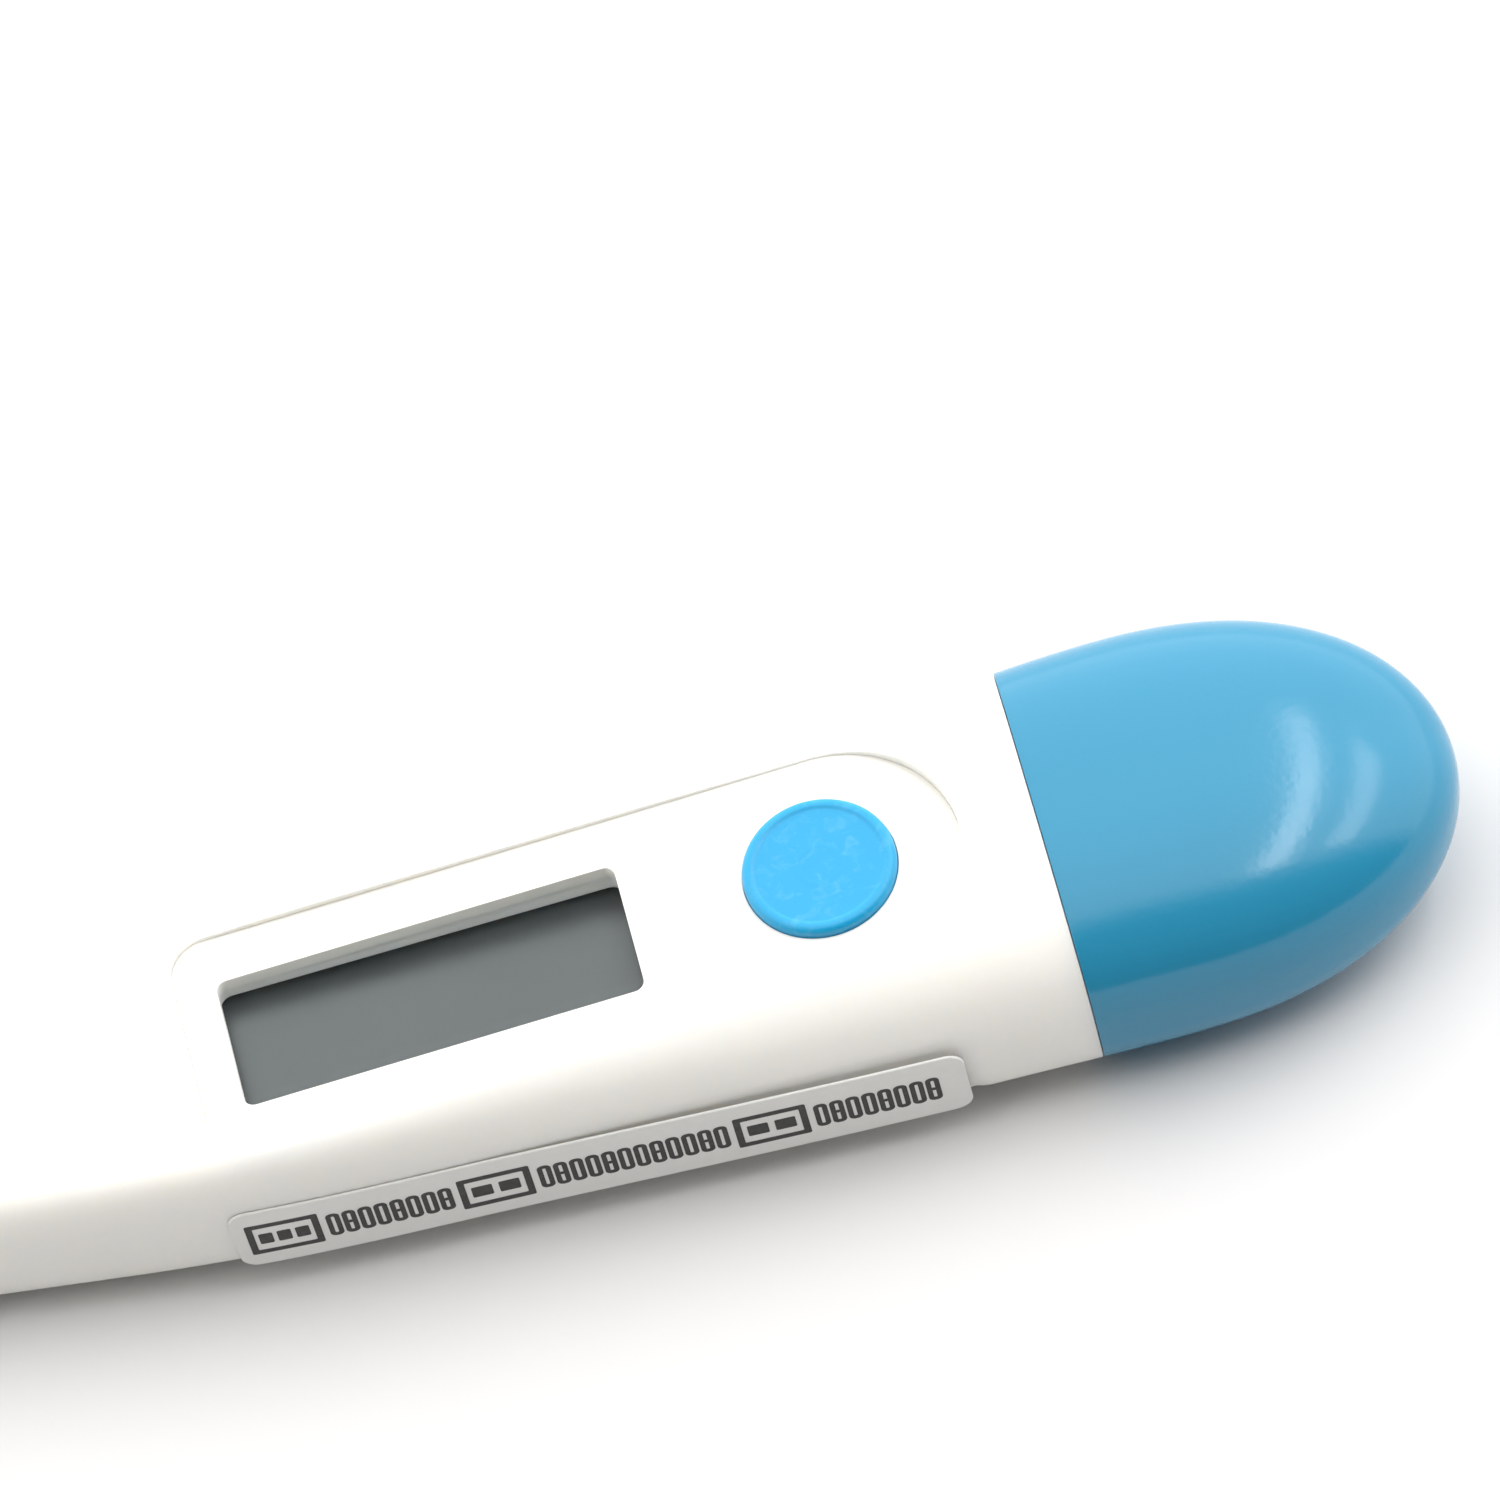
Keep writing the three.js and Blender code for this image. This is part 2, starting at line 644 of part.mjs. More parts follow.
addPiece("display_window", displayWindow(), finishes.clearAcrylic);
const polariser = box(8.5, 27.7, -3.75, 3.75, polariserTop - 0.12, polariserTop);
addPiece("lcd_front_polariser", polariser, finishes.polariserFilm);
addPiece("lcd_glass", lcdGlass(), finishes.displayGlass);
addPiece("lcd_reflector", box(8.3, 27.9, -2.6, 4, 6.06, 6.18), finishes.foil);
addPiece("lcd_frame", lcdFrame(), finishes.greyAbs);
addPiece("zebra_connector", zebraConnector(), finishes.carbonRubber);

addPiece("circuit_board", circuitBoard(), finishes.fibreBoard);
addPiece("chip_encapsulant", chipEncapsulant(), finishes.blackEpoxy);
const resistorYs = [-2.6, 0, 2.6];
resistorYs.forEach((y, i) => {
  const chip = box(-0.4, 0.4, -0.8, 0.8, 0, 0.45);
  addPiece(`chip_resistor_${i + 1}`, chip, finishes.blackEpoxy).position.set(31, y, boardTop + 0.05);
});
const capacitorYs = [-3.8, 3.8];
capacitorYs.forEach((y, i) => {
  const chip = box(-0.6, 0.6, -1, 1, 0, 0.85);
  addPiece(`chip_capacitor_${i + 1}`, chip, finishes.ceramic).position.set(41.6, y, boardTop + 0.05);
});

addPiece("buzzer_plate", plate(circle(24, 0, 4.8), 2.3, 2.5, 10), finishes.brass);
addPiece("buzzer_ceramic", plate(circle(24, 0, 3.4), 2.53, 2.68, 8), finishes.ceramic);
const discContact = [[19.4, 3.8], [21, 3.8], [23, 2.79], [24.4, 2.79]];
const rimContact = [[31.4, 3.8], [29.9, 3.8], [28.7, 2.61], [27.9, 2.61]].reverse();
addPiece("buzzer_contact_1", buzzerContact(discContact), finishes.brass);
addPiece("buzzer_contact_2", buzzerContact(rimContact), finishes.brass);

addPiece("battery_cell", batteryCell(), finishes.nickel);
addPiece("battery_tray", batteryTray(), finishes.whiteAbs);
addPiece("positive_contact", positiveContact(), finishes.nickel);
addPiece("negative_contact", negativeContact(), finishes.nickel);

export default thermometer;
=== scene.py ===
import math
from math import cos, pi, sin

import bmesh
import bpy
import numpy as np
from mathutils import Matrix, Vector


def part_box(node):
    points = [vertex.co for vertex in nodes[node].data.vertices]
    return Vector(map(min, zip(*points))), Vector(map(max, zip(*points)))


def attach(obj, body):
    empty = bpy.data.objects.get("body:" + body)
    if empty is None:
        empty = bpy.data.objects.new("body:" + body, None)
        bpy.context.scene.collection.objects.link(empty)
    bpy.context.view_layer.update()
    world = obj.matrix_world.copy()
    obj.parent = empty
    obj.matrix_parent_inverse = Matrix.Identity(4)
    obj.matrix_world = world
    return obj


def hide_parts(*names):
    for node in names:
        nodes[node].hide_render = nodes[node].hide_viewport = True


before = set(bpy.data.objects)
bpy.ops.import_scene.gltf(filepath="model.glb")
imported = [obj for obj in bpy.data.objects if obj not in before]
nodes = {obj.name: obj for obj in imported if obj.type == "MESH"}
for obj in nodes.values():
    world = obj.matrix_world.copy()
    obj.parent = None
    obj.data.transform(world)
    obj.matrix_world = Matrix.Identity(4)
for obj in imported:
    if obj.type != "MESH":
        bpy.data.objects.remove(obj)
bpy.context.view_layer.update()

# lengths below are in millimetres and become metres when a mesh is made
mm = 0.001
scene = bpy.context.scene


def span(node):
    low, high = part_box(node)
    return [v / mm for v in low], [v / mm for v in high]


capLow, capHigh = span("battery_cap")
tipLow, tipHigh = span("probe_tip")
labelLow, labelHigh = span("side_label")
boardTop = span("circuit_board")[1][2]
windowTop = span("display_window")[1][2]
cellLow, cellHigh = span("battery_cell")
trayLow, trayHigh = span("battery_tray")
print("frame loaded")

cameraView = {
    "turn": 0.59,
    "rise": 57.285,
    "roll": -16.493,
    "distance": 527.76,
    "aim": (34.17, 7.18, 9.62),
    "lens": 288,
    "sensor": 36,
    "clip": (0.01, 20),  # metres
}


def addCamera(view):
    turn = math.radians(view["turn"])
    rise = math.radians(view["rise"])
    spin = (
        Matrix.Rotation(turn, 4, "Z")
        @ Matrix.Rotation(pi / 2 - rise, 4, "X")
        @ Matrix.Rotation(math.radians(view["roll"]), 4, "Z")
    )
    back = Vector((sin(turn) * cos(rise), -cos(turn) * cos(rise), sin(rise)))
    camera = bpy.data.objects.new("camera", bpy.data.cameras.new("camera"))
    camera.data.lens = view["lens"]
    camera.data.sensor_width = view["sensor"]
    camera.data.clip_start, camera.data.clip_end = view["clip"]
    place = (Vector(view["aim"]) + back * view["distance"]) * mm
    camera.matrix_world = Matrix.Translation(place) @ spin
    scene.collection.objects.link(camera)
    scene.camera = camera


def hexToLinear(code):
    channels = [int(code[i : i + 2], 16) / 255 for i in (1, 3, 5)]
    return [c / 12.92 if c <= 0.04045 else ((c + 0.055) / 1.055) ** 2.4 for c in channels] + [1]


# adds a shader node; settings are its properties or sockets, links are sockets fed by other nodes
def addNode(tree, kind, settings=None, links=None):
    node = tree.nodes.new("ShaderNode" + kind)
    for key, value in (settings or {}).items():
        if isinstance(key, str) and hasattr(node, key):
            setattr(node, key, value)
        else:
            node.inputs[key].default_value = value
    for key, socket in (links or {}).items():
        tree.links.new(socket, node.inputs[key])
    return node


# a bright sky behind and above that fades out in front, with a bright strip and a fainter panel
# to the right; each box has its reach along X and Y as shares of its height above the cap
lights = {
    "worldHex": "#FFFDFA",
    "worldStrength": 0.02,
    # bands of the sky, front to back: where each begins and ends along Y, and what it adds
    "worldBands": ((-0.57, -0.38, 0.1), (-0.45, -0.18, 1.84)),
    "above": 800,
    "over": (57, -3),
    "drop": 6,
    "boxes": [
        {"name": "stripBox", "x": (0.42, 0.54), "y": (-0.3, 0.8), "bright": 6.3, "turn": -13},
        {"name": "sideBox", "x": (0.79, 1.08), "y": (-0.3, 0.8), "bright": 3, "turn": -16},
    ],
}


def addLights(settings):
    world = bpy.data.worlds.new("studio")
    world.use_nodes = True
    tree = world.node_tree
    background = tree.nodes["Background"]
    background.inputs["Color"].default_value = hexToLinear(settings["worldHex"])
    direction = addNode(tree, "TexCoord").outputs["Generated"]
    along = addNode(tree, "SeparateXYZ", {}, {"Vector": direction}).outputs["Y"]
    total = addNode(tree, "Value").outputs["Value"]
    total.default_value = settings["worldStrength"]
    for start, end, gain in settings["worldBands"]:
        limits = {"From Min": start, "From Max": end, "To Max": gain}
        limits["interpolation_type"] = "SMOOTHSTEP"
        band = addNode(tree, "MapRange", limits, {"Value": along}).outputs["Result"]
        total = addNode(tree, "Math", {"operation": "ADD"}, {0: total, 1: band}).outputs["Value"]
    tree.links.new(total, background.inputs["Strength"])
    scene.world = world
    height = settings["above"] * mm
    for box in settings["boxes"]:
        light = bpy.data.lights.new(box["name"], "AREA")
        light.shape = "RECTANGLE"
        light.size = (box["x"][1] - box["x"][0]) * height
        light.size_y = (box["y"][1] - box["y"][0]) * height
        light.energy = box["bright"] * pi * light.size * light.size_y
        lamp = bpy.data.objects.new(box["name"], light)
        middle = [(box[axis][0] + box[axis][1]) / 2 * height for axis in "xy"]
        place = [settings["over"][i] * mm + middle[i] for i in (0, 1)]
        lamp.location = place + [height - settings["drop"] * mm]
        lamp.rotation_euler.z = math.radians(box["turn"])
        lamp.visible_camera = False
        scene.collection.objects.link(lamp)


sweep = {
    "half": 4,  # metres
    "hex": "#E0E0E1",
    "roughness": 0.9,
    "specular": 0.1,
}


def addFloor(look):
    half = look["half"]
    mesh = bpy.data.meshes.new("floor")
    corners = [(-half, -half, 0), (half, -half, 0), (half, half, 0), (-half, half, 0)]
    mesh.from_pydata(corners, [], [(0, 1, 2, 3)])
    floor = bpy.data.objects.new("floor", mesh)
    scene.collection.objects.link(floor)
    paper = bpy.data.materials.new("white paper sweep, matt")
    paper.use_nodes = True
    shader = paper.node_tree.nodes["Principled BSDF"]
    shader.inputs["Base Color"].default_value = hexToLinear(look["hex"])
    shader.inputs["Roughness"].default_value = look["roughness"]
    shader.inputs["Specular IOR Level"].default_value = look["specular"]
    mesh.materials.append(paper)


addCamera(cameraView)
addLights(lights)
addFloor(sweep)
scene.view_settings.view_transform = "Standard"
print("camera, lights and floor placed")


def meshObject(name, points, faces):
    mesh = bpy.data.meshes.new(name)
    mesh.from_pydata([tuple(float(v) * mm for v in p) for p in points], [], faces)
    piece = bpy.data.objects.new(name, mesh)
    scene.collection.objects.link(piece)
    return piece


# turns all faces outward and smooths every edge flatter than the angle
def finishMesh(piece, angle=32):
    mesh = piece.data
    work = bmesh.new()
    work.from_mesh(mesh)
    bmesh.ops.recalc_face_normals(work, faces=work.faces)
    work.to_mesh(mesh)
    work.free()
    mesh.shade_smooth()
    mesh.set_sharp_from_angle(angle=math.radians(angle))
    return piece


# skin over a row of rings with equal numbers of points; start and end are single closing points
def skinRings(name, rings, start=None, end=None, loop=False):
    count = len(rings[0])
    points = [p for ring in rings for p in ring]
    faces = []
    turns = len(rings) if loop else len(rings) - 1
    for k in range(turns):
        here = k * count
        there = (k + 1) % len(rings) * count
        for i in range(count):
            j = (i + 1) % count
            faces.append((here + i, here + j, there + j, there + i))
    for pole, first in ((start, 0), (end, (len(rings) - 1) * count)):
        if pole is not None:
            points.append(pole)
            faces += [(len(points) - 1, first + i, first + (i + 1) % count) for i in range(count)]
    return meshObject(name, points, faces)


# a line of (a, b, radius) corners with each corner rounded
def roundedLine(corners, steps):
    line = []
    for i, (a, b, radius) in enumerate(corners):
        here = Vector((a, b))
        if radius == 0 or i in (0, len(corners) - 1):
            line.append((a, b))
            continue
        before = (Vector(corners[i - 1][:2]) - here).normalized()
        after = (Vector(corners[i + 1][:2]) - here).normalized()
        half = before.angle(after) / 2
        reach = radius / math.tan(half)
        middle = here + (before + after).normalized() * (radius / sin(half))
        start = here + before * reach - middle
        finish = here + after * reach - middle
        turn = start.angle_signed(finish)
        for k in range(steps + 1):
            point = middle + Matrix.Rotation(-turn * k / steps, 2) @ start
            line.append((point.x, point.y))
    return line


# turned piece round a vertical axis; the profile is (radius, height) and starts and ends on the axis
def turnedPiece(name, profile, place=(0, 0, 0), sides=128):
    angles = [2 * pi * i / sides for i in range(sides)]
    rings = [[(r * cos(t), r * sin(t), z) for t in angles] for r, z in profile[1:-1]]
    start = (0, 0, profile[0][1])
    end = (0, 0, profile[-1][1])
    piece = skinRings(name, rings, start, end)
    piece.data.transform(Matrix.Translation(Vector(place) * mm))
    return piece


def circleOutline(x, y, radius, sides=96):
    turns = [2 * pi * i / sides for i in range(sides)]
    return [(x + radius * cos(turn), y + radius * sin(turn)) for turn in turns]


def arcPoints(x, y, radius, start, end, steps):
    turns = [start + (end - start) * k / steps for k in range(steps + 1)]
    return [(x + radius * cos(t), y + radius * sin(t)) for t in turns]


# straight stretches of an outline broken into short steps
def fineOutline(outline, step):
    fine = []
    for i, (a, b) in enumerate(outline):
        c, d = outline[(i + 1) % len(outline)]
        parts = max(1, math.ceil(math.hypot(c - a, d - b) / step))
        fine += [(a + (c - a) * k / parts, b + (d - b) * k / parts) for k in range(parts)]
    return fine


def roundedRectangle(x0, x1, y0, y1, radius, steps=8):
    quarter = pi / 2
    return (
        arcPoints(x1 - radius, y0 + radius, radius, -quarter, 0, steps)
        + arcPoints(x1 - radius, y1 - radius, radius, 0, quarter, steps)
        + arcPoints(x0 + radius, y1 - radius, radius, quarter, 2 * quarter, steps)
        + arcPoints(x0 + radius, y0 + radius, radius, 2 * quarter, 3 * quarter, steps)
    )


# flat plate between two heights with softened edges; outlines are functions of how far they grow
def plateObject(name, outer, holes, low, high, soft):
    work = bmesh.new()
    turns = [0, pi / 4, pi / 2]
    bottom = [(low + soft * (1 - sin(t)), soft * (1 - cos(t))) for t in turns[::-1]]
    top = [(low + high - z, draw) for z, draw in reversed(bottom)]
    endLoops = ([], [])
    for outline, sign in [(outer, -1)] + [(hole, 1) for hole in holes]:
        rings = []
        for z, draw in bottom + top:
            rings.append([work.verts.new((x * mm, y * mm, z * mm)) for x, y in outline(sign * draw)])
        count = len(rings[0])
        for lower, upper in zip(rings, rings[1:]):
            for i in range(count):
                j = (i + 1) % count
                work.faces.new((lower[i], lower[j], upper[j], upper[i]))
        for side, ring in ((0, rings[0]), (1, rings[-1])):
            for i in range(count):
                endLoops[side].append(work.edges.get((ring[i], ring[(i + 1) % count])))
    for edges in endLoops:
        bmesh.ops.triangle_fill(work, use_beauty=True, edges=edges)
    mesh = bpy.data.meshes.new(name)
    work.to_mesh(mesh)
    work.free()
    piece = bpy.data.objects.new(name, mesh)
    scene.collection.objects.link(piece)
    return piece


def prism(name, outline, low, high):
    count = len(outline)
    points = [(x, y, z) for z in (low, high) for x, y in outline]
    faces = [tuple(range(count))[::-1], tuple(range(count, 2 * count))]
    faces += [(i, (i + 1) % count, (i + 1) % count + count, i + count) for i in range(count)]
    return finishMesh(meshObject(name, points, faces))


# cuts or joins other solids into a piece and removes them
def combine(piece, others, operation):
    for other in others:
        step = piece.modifiers.new("combine", "BOOLEAN")
        step.operation = operation
        step.solver = "MANIFOLD"
        step.object = other
    graph = bpy.context.evaluated_depsgraph_get()
    whole = bpy.data.meshes.new_from_object(piece.evaluated_get(graph))
    piece.modifiers.clear()
    piece.data = whole
    for other in others:
        bpy.data.objects.remove(other)
    work = bmesh.new()
    work.from_mesh(whole)
    bmesh.ops.remove_doubles(work, verts=work.verts, dist=0.002 * mm)
    bmesh.ops.dissolve_degenerate(work, edges=work.edges, dist=0.001 * mm)
    work.to_mesh(whole)
    work.free()
    return piece


def keepFlatsFlat(piece):
    step = piece.modifiers.new("flat faces stay flat", "WEIGHTED_NORMAL")
    step.keep_sharp = True
    step.weight = 90


sliver = 0.001  # keeps faces that would touch apart

# shape of the case and the cap, shared by the pieces that have to meet them
caseShape = {
    # x, half width, crown, height of the widest line, lowest point, squareness of the upper half
    "stations": [
        (-52.9, 2.4, 5.8, 3.75, 1.7, 2.1),
        (-40, 2.55, 6.2, 3.8, 1.45, 2.3),
        (-25, 2.95, 6.95, 3.85, 0.95, 2.6),
        (-15, 3.5, 7.75, 3.95, 0.55, 3.2),
        (-6.5, 4.5, 8.65, 4.1, 0.15, 4.4),
        (7, 6.65, 9.8, 4.35, -0.25, 6.5),
        (20.5, 7.65, 10.35, 4.55, -0.25, 4.2),
        (33.5, 8.55, 10.7, 4.8, -0.25, 3),
        (45.3, 9.2, 10.9, 5.05, -0.25, 2.6),
    ],
    "lowerPower": 2.6,
    "wall": 1.15,
    "floor": 1.15,
    "deckUnderside": 8.2,
    "stemAxis": 3.75,
    "noseRadius": 1.5,
    "noseLength": 5,
    "noseEdge": 0.1,
    "channelRadius": 0.9,
    "neckInset": 1.5,
    "neckBore": 2.4,
    "neckLength": 4,
    "grooveStart": 1.6,
    "grooveWidth": 0.8,
    "grooveDepth": 0.5,
    "edge": 0.05,
    "reach": 0.06,  # how far the visible skin runs into the gap at the seam
    "rim": (7.1, 29.2, 4.7),  # from, to and half width of the rim that holds the display window
    "bay": (7.3, 29, 4.5),  # the same for the hollow under it
    "rimOverWindow": 0.05,
    "openingSetBack": 0.13,  # the case's opening stands this far behind the panel's
    "ribs": ((11.6, 12.4, 4), (37.2, 38, 5)),
    "ribHeights": (0.6, 3.8),
    "hollowStart": -8,
    # from, to and spacing of the rings of the skin, finest along the panel pocket
    "ringRuns": ((-52.4, -14, 1.2), (-13.2, 4.6, 0.8), (4.9, 41.2, 0.3), (41.7, 45.25, 0.5)),
}
capShape = {
    "widestAt": 0.27,
    "widest": 9.35,
    "swell": 0.15,
    "heightPowers": (2.65, 2.1),  # squareness of the end seen from the side
    "widthPower": 2.2,  # and from above
    "wall": 1.2,
    "insideFloor": 0.9,
    "insideEnd": 1.5,
    "edge": 0.06,
    "insideDome": 0.2,
    "lipSoft": 0.12,
    "lipBack": 0.15,
    "tipShare": 0.99998,  # the last ring stops just short of the end point
}
stations = caseShape["stations"]
stemEnd = stations[0][0]
seamX = stations[-1][0]
capEnd = capHigh[0]
capLength = capEnd - seamX


# the five measures of the case at x, joined smoothly between the stations
def caseSection(x):
    i = 0
    while i < len(stations) - 2 and x > stations[i + 1][0]:
        i += 1

    def slopeAt(j, k):
        before = stations[max(j - 1, 0)]
        after = stations[min(j + 1, len(stations) - 1)]
        return (after[k] - before[k]) / (after[0] - before[0])

    a, b = stations[i], stations[i + 1]
    width = b[0] - a[0]
    t = min(max((x - a[0]) / width, 0), 1)
    rise = t * t * (3 - 2 * t)
    section = {"x": x}
    for k, key in enumerate(("half", "crown", "middle", "low", "power"), 1):
        lead = slopeAt(i, k) * width * t * (1 - t) ** 2
        trail = slopeAt(i + 1, k) * width * t * t * (t - 1)
        section[key] = a[k] * (1 - rise) + b[k] * rise + lead + trail
    return section


# section of the cap at a share u of its length
def capSection(u):
    seam = caseSection(seamX)
    at = capShape["widestAt"]
    beyond = max((u - at) / (1 - at), 0)
    swell = sin(pi / 2 * min(u / at, 1))
    along, up = capShape["heightPowers"]
    height = (1 - u**along) ** (1 / up)
    half = seam["half"] + (capShape["widest"] - seam["half"]) * swell
    crown = seam["crown"] + capShape["swell"] * swell
    return {
        "x": seamX + capLength * u,
        "half": half * math.sqrt(1 - beyond ** capShape["widthPower"]),
        "crown": seam["middle"] + (crown - seam["middle"]) * height,
        "middle": seam["middle"],
        "low": seam["middle"] + (seam["low"] - seam["middle"]) * height,
        "power": seam["power"],
    }


# points at even steps along a quarter of a superellipse, between two angles
def quarterCurve(half, reach, power, start, end, steps):
    u = np.linspace(0, 1, 400)
    ease = u**2 / (u**2 + (1 - u) ** 2)
    turn = start + (end - start) * ease
    y = half * np.clip(np.cos(turn), 0, 1) ** (2 / power)
    z = reach * np.clip(np.sin(turn), 0, 1) ** (2 / power)
    walked = np.concatenate([[0], np.cumsum(np.hypot(np.diff(y), np.diff(z)))])
    even = np.linspace(0, walked[-1], steps + 1)
    return np.interp(even, walked, y), np.interp(even, walked, z)


ringSteps = {"top": 52, "side": 26, "bottom": 10}


# closed ring of points round a section, drawn in by an inset and cut off flat at two heights
def sectionRing(section, inset=0, bottom=0, top=1000):
    half = section["half"] - inset
    up = section["crown"] - inset - section["middle"]
    down = section["middle"] - section["low"] - inset
    lower = caseShape["lowerPower"]
    level = min(max((section["middle"] - bottom) / down, 0.5), 0.97)
    split = math.asin(level ** (lower / 2))
    y1, z1 = quarterCurve(half, up, section["power"], pi / 2, 0, ringSteps["top"])
    y2, z2 = quarterCurve(half, down, lower, 0, split, ringSteps["side"])
    y3, z3 = quarterCurve(half, down, lower, split, pi / 2, ringSteps["bottom"])
    y = np.concatenate([y1, y2[1:], y3[1:]])
    z = section["middle"] + np.concatenate([z1, -z2[1:], -z3[1:]])
    y[0] = y[-1] = 0
    z = np.clip(z, bottom, top)
    side = list(zip(y, z))
    loop = side + [(-a, b) for a, b in side[-2:0:-1]]
    return np.array([(section["x"], a, b) for a, b in loop])


# ring in the same directions as another ring, but round
def roundRing(like, x, radius):
    axis = caseShape["stemAxis"]
    turn = np.arctan2(like[:, 2] - axis, like[:, 1])
    return np.stack([np.full(len(turn), x), radius * np.cos(turn), axis + radius * np.sin(turn)], axis=1)


def surfaceTop(x, y):
    section = caseSection(x)
    across = min(abs(y) / section["half"], 1)
    reach = section["crown"] - section["middle"]
    return section["middle"] + reach * (1 - across ** section["power"]) ** (1 / section["power"])


panel = {
    "x": 17.9,
    "z": 9.6,
    "tilt": math.atan(0.02),
    "left": 7,
    "halfWidth": 5.6,
    "corner": 1.7,
    "endX": 36.45,
    "thickness": 0.75,
    "seat": 0.05,
    "joint": 0.01,  # the part of the gap that shows between panel and case
    "soft": 0.02,
    "opening": (18.2, 6.55),
    "openingCorner": 0.5,
    "buttonX": 35.7,
    "buttonHole": 3.47,
}
panelPlace = Matrix.Translation(Vector((panel["x"], 0, panel["z"])) * mm)
panelMatrix = panelPlace @ Matrix.Rotation(-panel["tilt"], 4, "Y")


def panelOutline(grow):
    half = panel["halfWidth"] + grow
    left = panel["left"] - panel["x"] - grow
    corner = panel["corner"] + grow
    quarter = pi / 2
    outline = (
        arcPoints(panel["endX"] - panel["x"], 0, half, -quarter, quarter, 72)
        + arcPoints(left + corner, half - corner, corner, quarter, 2 * quarter, 12)
        + arcPoints(left + corner, corner - half, corner, 2 * quarter, 3 * quarter, 12)
    )
    return outline


def openingOutline(grow):
    x, y = [v / 2 + grow for v in panel["opening"]]
    return roundedRectangle(-x, x, -y, y, panel["openingCorner"] + grow)


def buttonHoleOutline(grow):
    return circleOutline(panel["buttonX"] - panel["x"], 0, panel["buttonHole"] + grow)


caseFinish = {
    "lip": 0.04,  # radius of the softened edge round the panel pocket
    "lipTurn": 0.94,  # share of a quarter turn that the edge makes
    "lipLift": 0.004,
    "labelMargin": 0.55,
    "labelCorner": 0.9,
    "labelDepth": 0.13,
    "labelSoft": 0.5,
    "labelFade": (14, 32),  # the recess runs out to nothing towards the stem
}


def easeIn(t):
    t = min(max(t, 0), 1)
    return t * t * (3 - 2 * t)


# how deep the label recess is at a place on the near wall
def recessDepth(x, z):
    margin = caseFinish["labelMargin"]
    corner = caseFinish["labelCorner"]
    soft = caseFinish["labelSoft"]
    halfX = (labelHigh[0] - labelLow[0]) / 2 + margin - corner
    halfZ = (labelHigh[2] - labelLow[2]) / 2 + margin - corner
    dx = abs(x - (labelHigh[0] + labelLow[0]) / 2) - halfX
    dz = abs(z - (labelHigh[2] + labelLow[2]) / 2) - halfZ
    outside = math.hypot(max(dx, 0), max(dz, 0)) + min(max(dx, dz), 0) - corner
    start, full = caseFinish["labelFade"]
    return caseFinish["labelDepth"] * easeIn(0.5 - outside / soft) * easeIn((x - start) / (full - start))


def outerRing(x):
    ring = sectionRing(caseSection(x))
    if labelLow[0] - 2 < x < labelHigh[0] + 2:
        for p in ring:
            if p[1] < 0:
                p[1] += recessDepth(p[0], p[2])
    return ring


def evenSteps(start, end, size):
    count = max(1, round(abs(end - start) / size))
    return [start + (end - start) * k / count for k in range(count + 1)]


def mainCaseRings():
    stem = sectionRing(caseSection(stemEnd))
    seam = caseSection(seamX)
    noseEnd = stemEnd - caseShape["noseLength"]
    nose = caseShape["noseRadius"]
    channel = caseShape["channelRadius"]
    noseEdge = caseShape["noseEdge"]
    edge = caseShape["edge"]
    rings = [roundRing(stem, noseEnd, channel), roundRing(stem, noseEnd, nose - noseEdge)]
    rings += [roundRing(stem, x, nose) for x in evenSteps(noseEnd + noseEdge, stemEnd, 1)]
    for turn in (0, pi / 6, pi / 3):
        start = {**caseSection(stemEnd), "x": stemEnd + edge * (1 - sin(turn))}
        rings.append(sectionRing(start, edge * (1 - cos(turn))))
    rings[-3:] = rings[-3:][::-1]
    for start, finish, spacing in caseShape["ringRuns"]:
        rings += [outerRing(x) for x in evenSteps(start, finish, spacing)]
    end = seamX + caseShape["reach"]
    for turn in (0, pi / 6, pi / 3, pi / 2):
        rings.append(sectionRing({**seam, "x": end - edge * (1 - sin(turn))}, edge * (1 - cos(turn))))
    inset = caseShape["neckInset"]
    bore = caseShape["neckBore"]
    neckEnd = seamX + caseShape["neckLength"]
    groove = seamX + caseShape["grooveStart"]
    deep = inset + caseShape["grooveDepth"]
    neck = [
        (end, inset),
        (groove, inset),
        (groove, deep),
        (groove + caseShape["grooveWidth"], deep),
        (groove + caseShape["grooveWidth"], inset),
        (neckEnd - 0.3, inset),  # from here the end of the neck is softened
        (neckEnd - 0.08, inset + 0.1),
        (neckEnd, inset + 0.3),
        (neckEnd, bore - 0.1),
        (neckEnd - 0.1, bore),
        (seamX - 1.5, bore),
    ]
    rings += [sectionRing({**seam, "x": x}, draw) for x, draw in neck]
    low, high = caseShape["floor"], caseShape["deckUnderside"]
    start = caseShape["hollowStart"]
    hollow = evenSteps(neck[-1][0], start, 1.5)
    rings += [sectionRing(caseSection(x), caseShape["wall"], low, high) for x in hollow]
    # the wires' channel, which closes on the first ring at the nose
    rings += [roundRing(rings[-1], x, channel) for x in evenSteps(start, noseEnd + 4, 6)]
    return rings


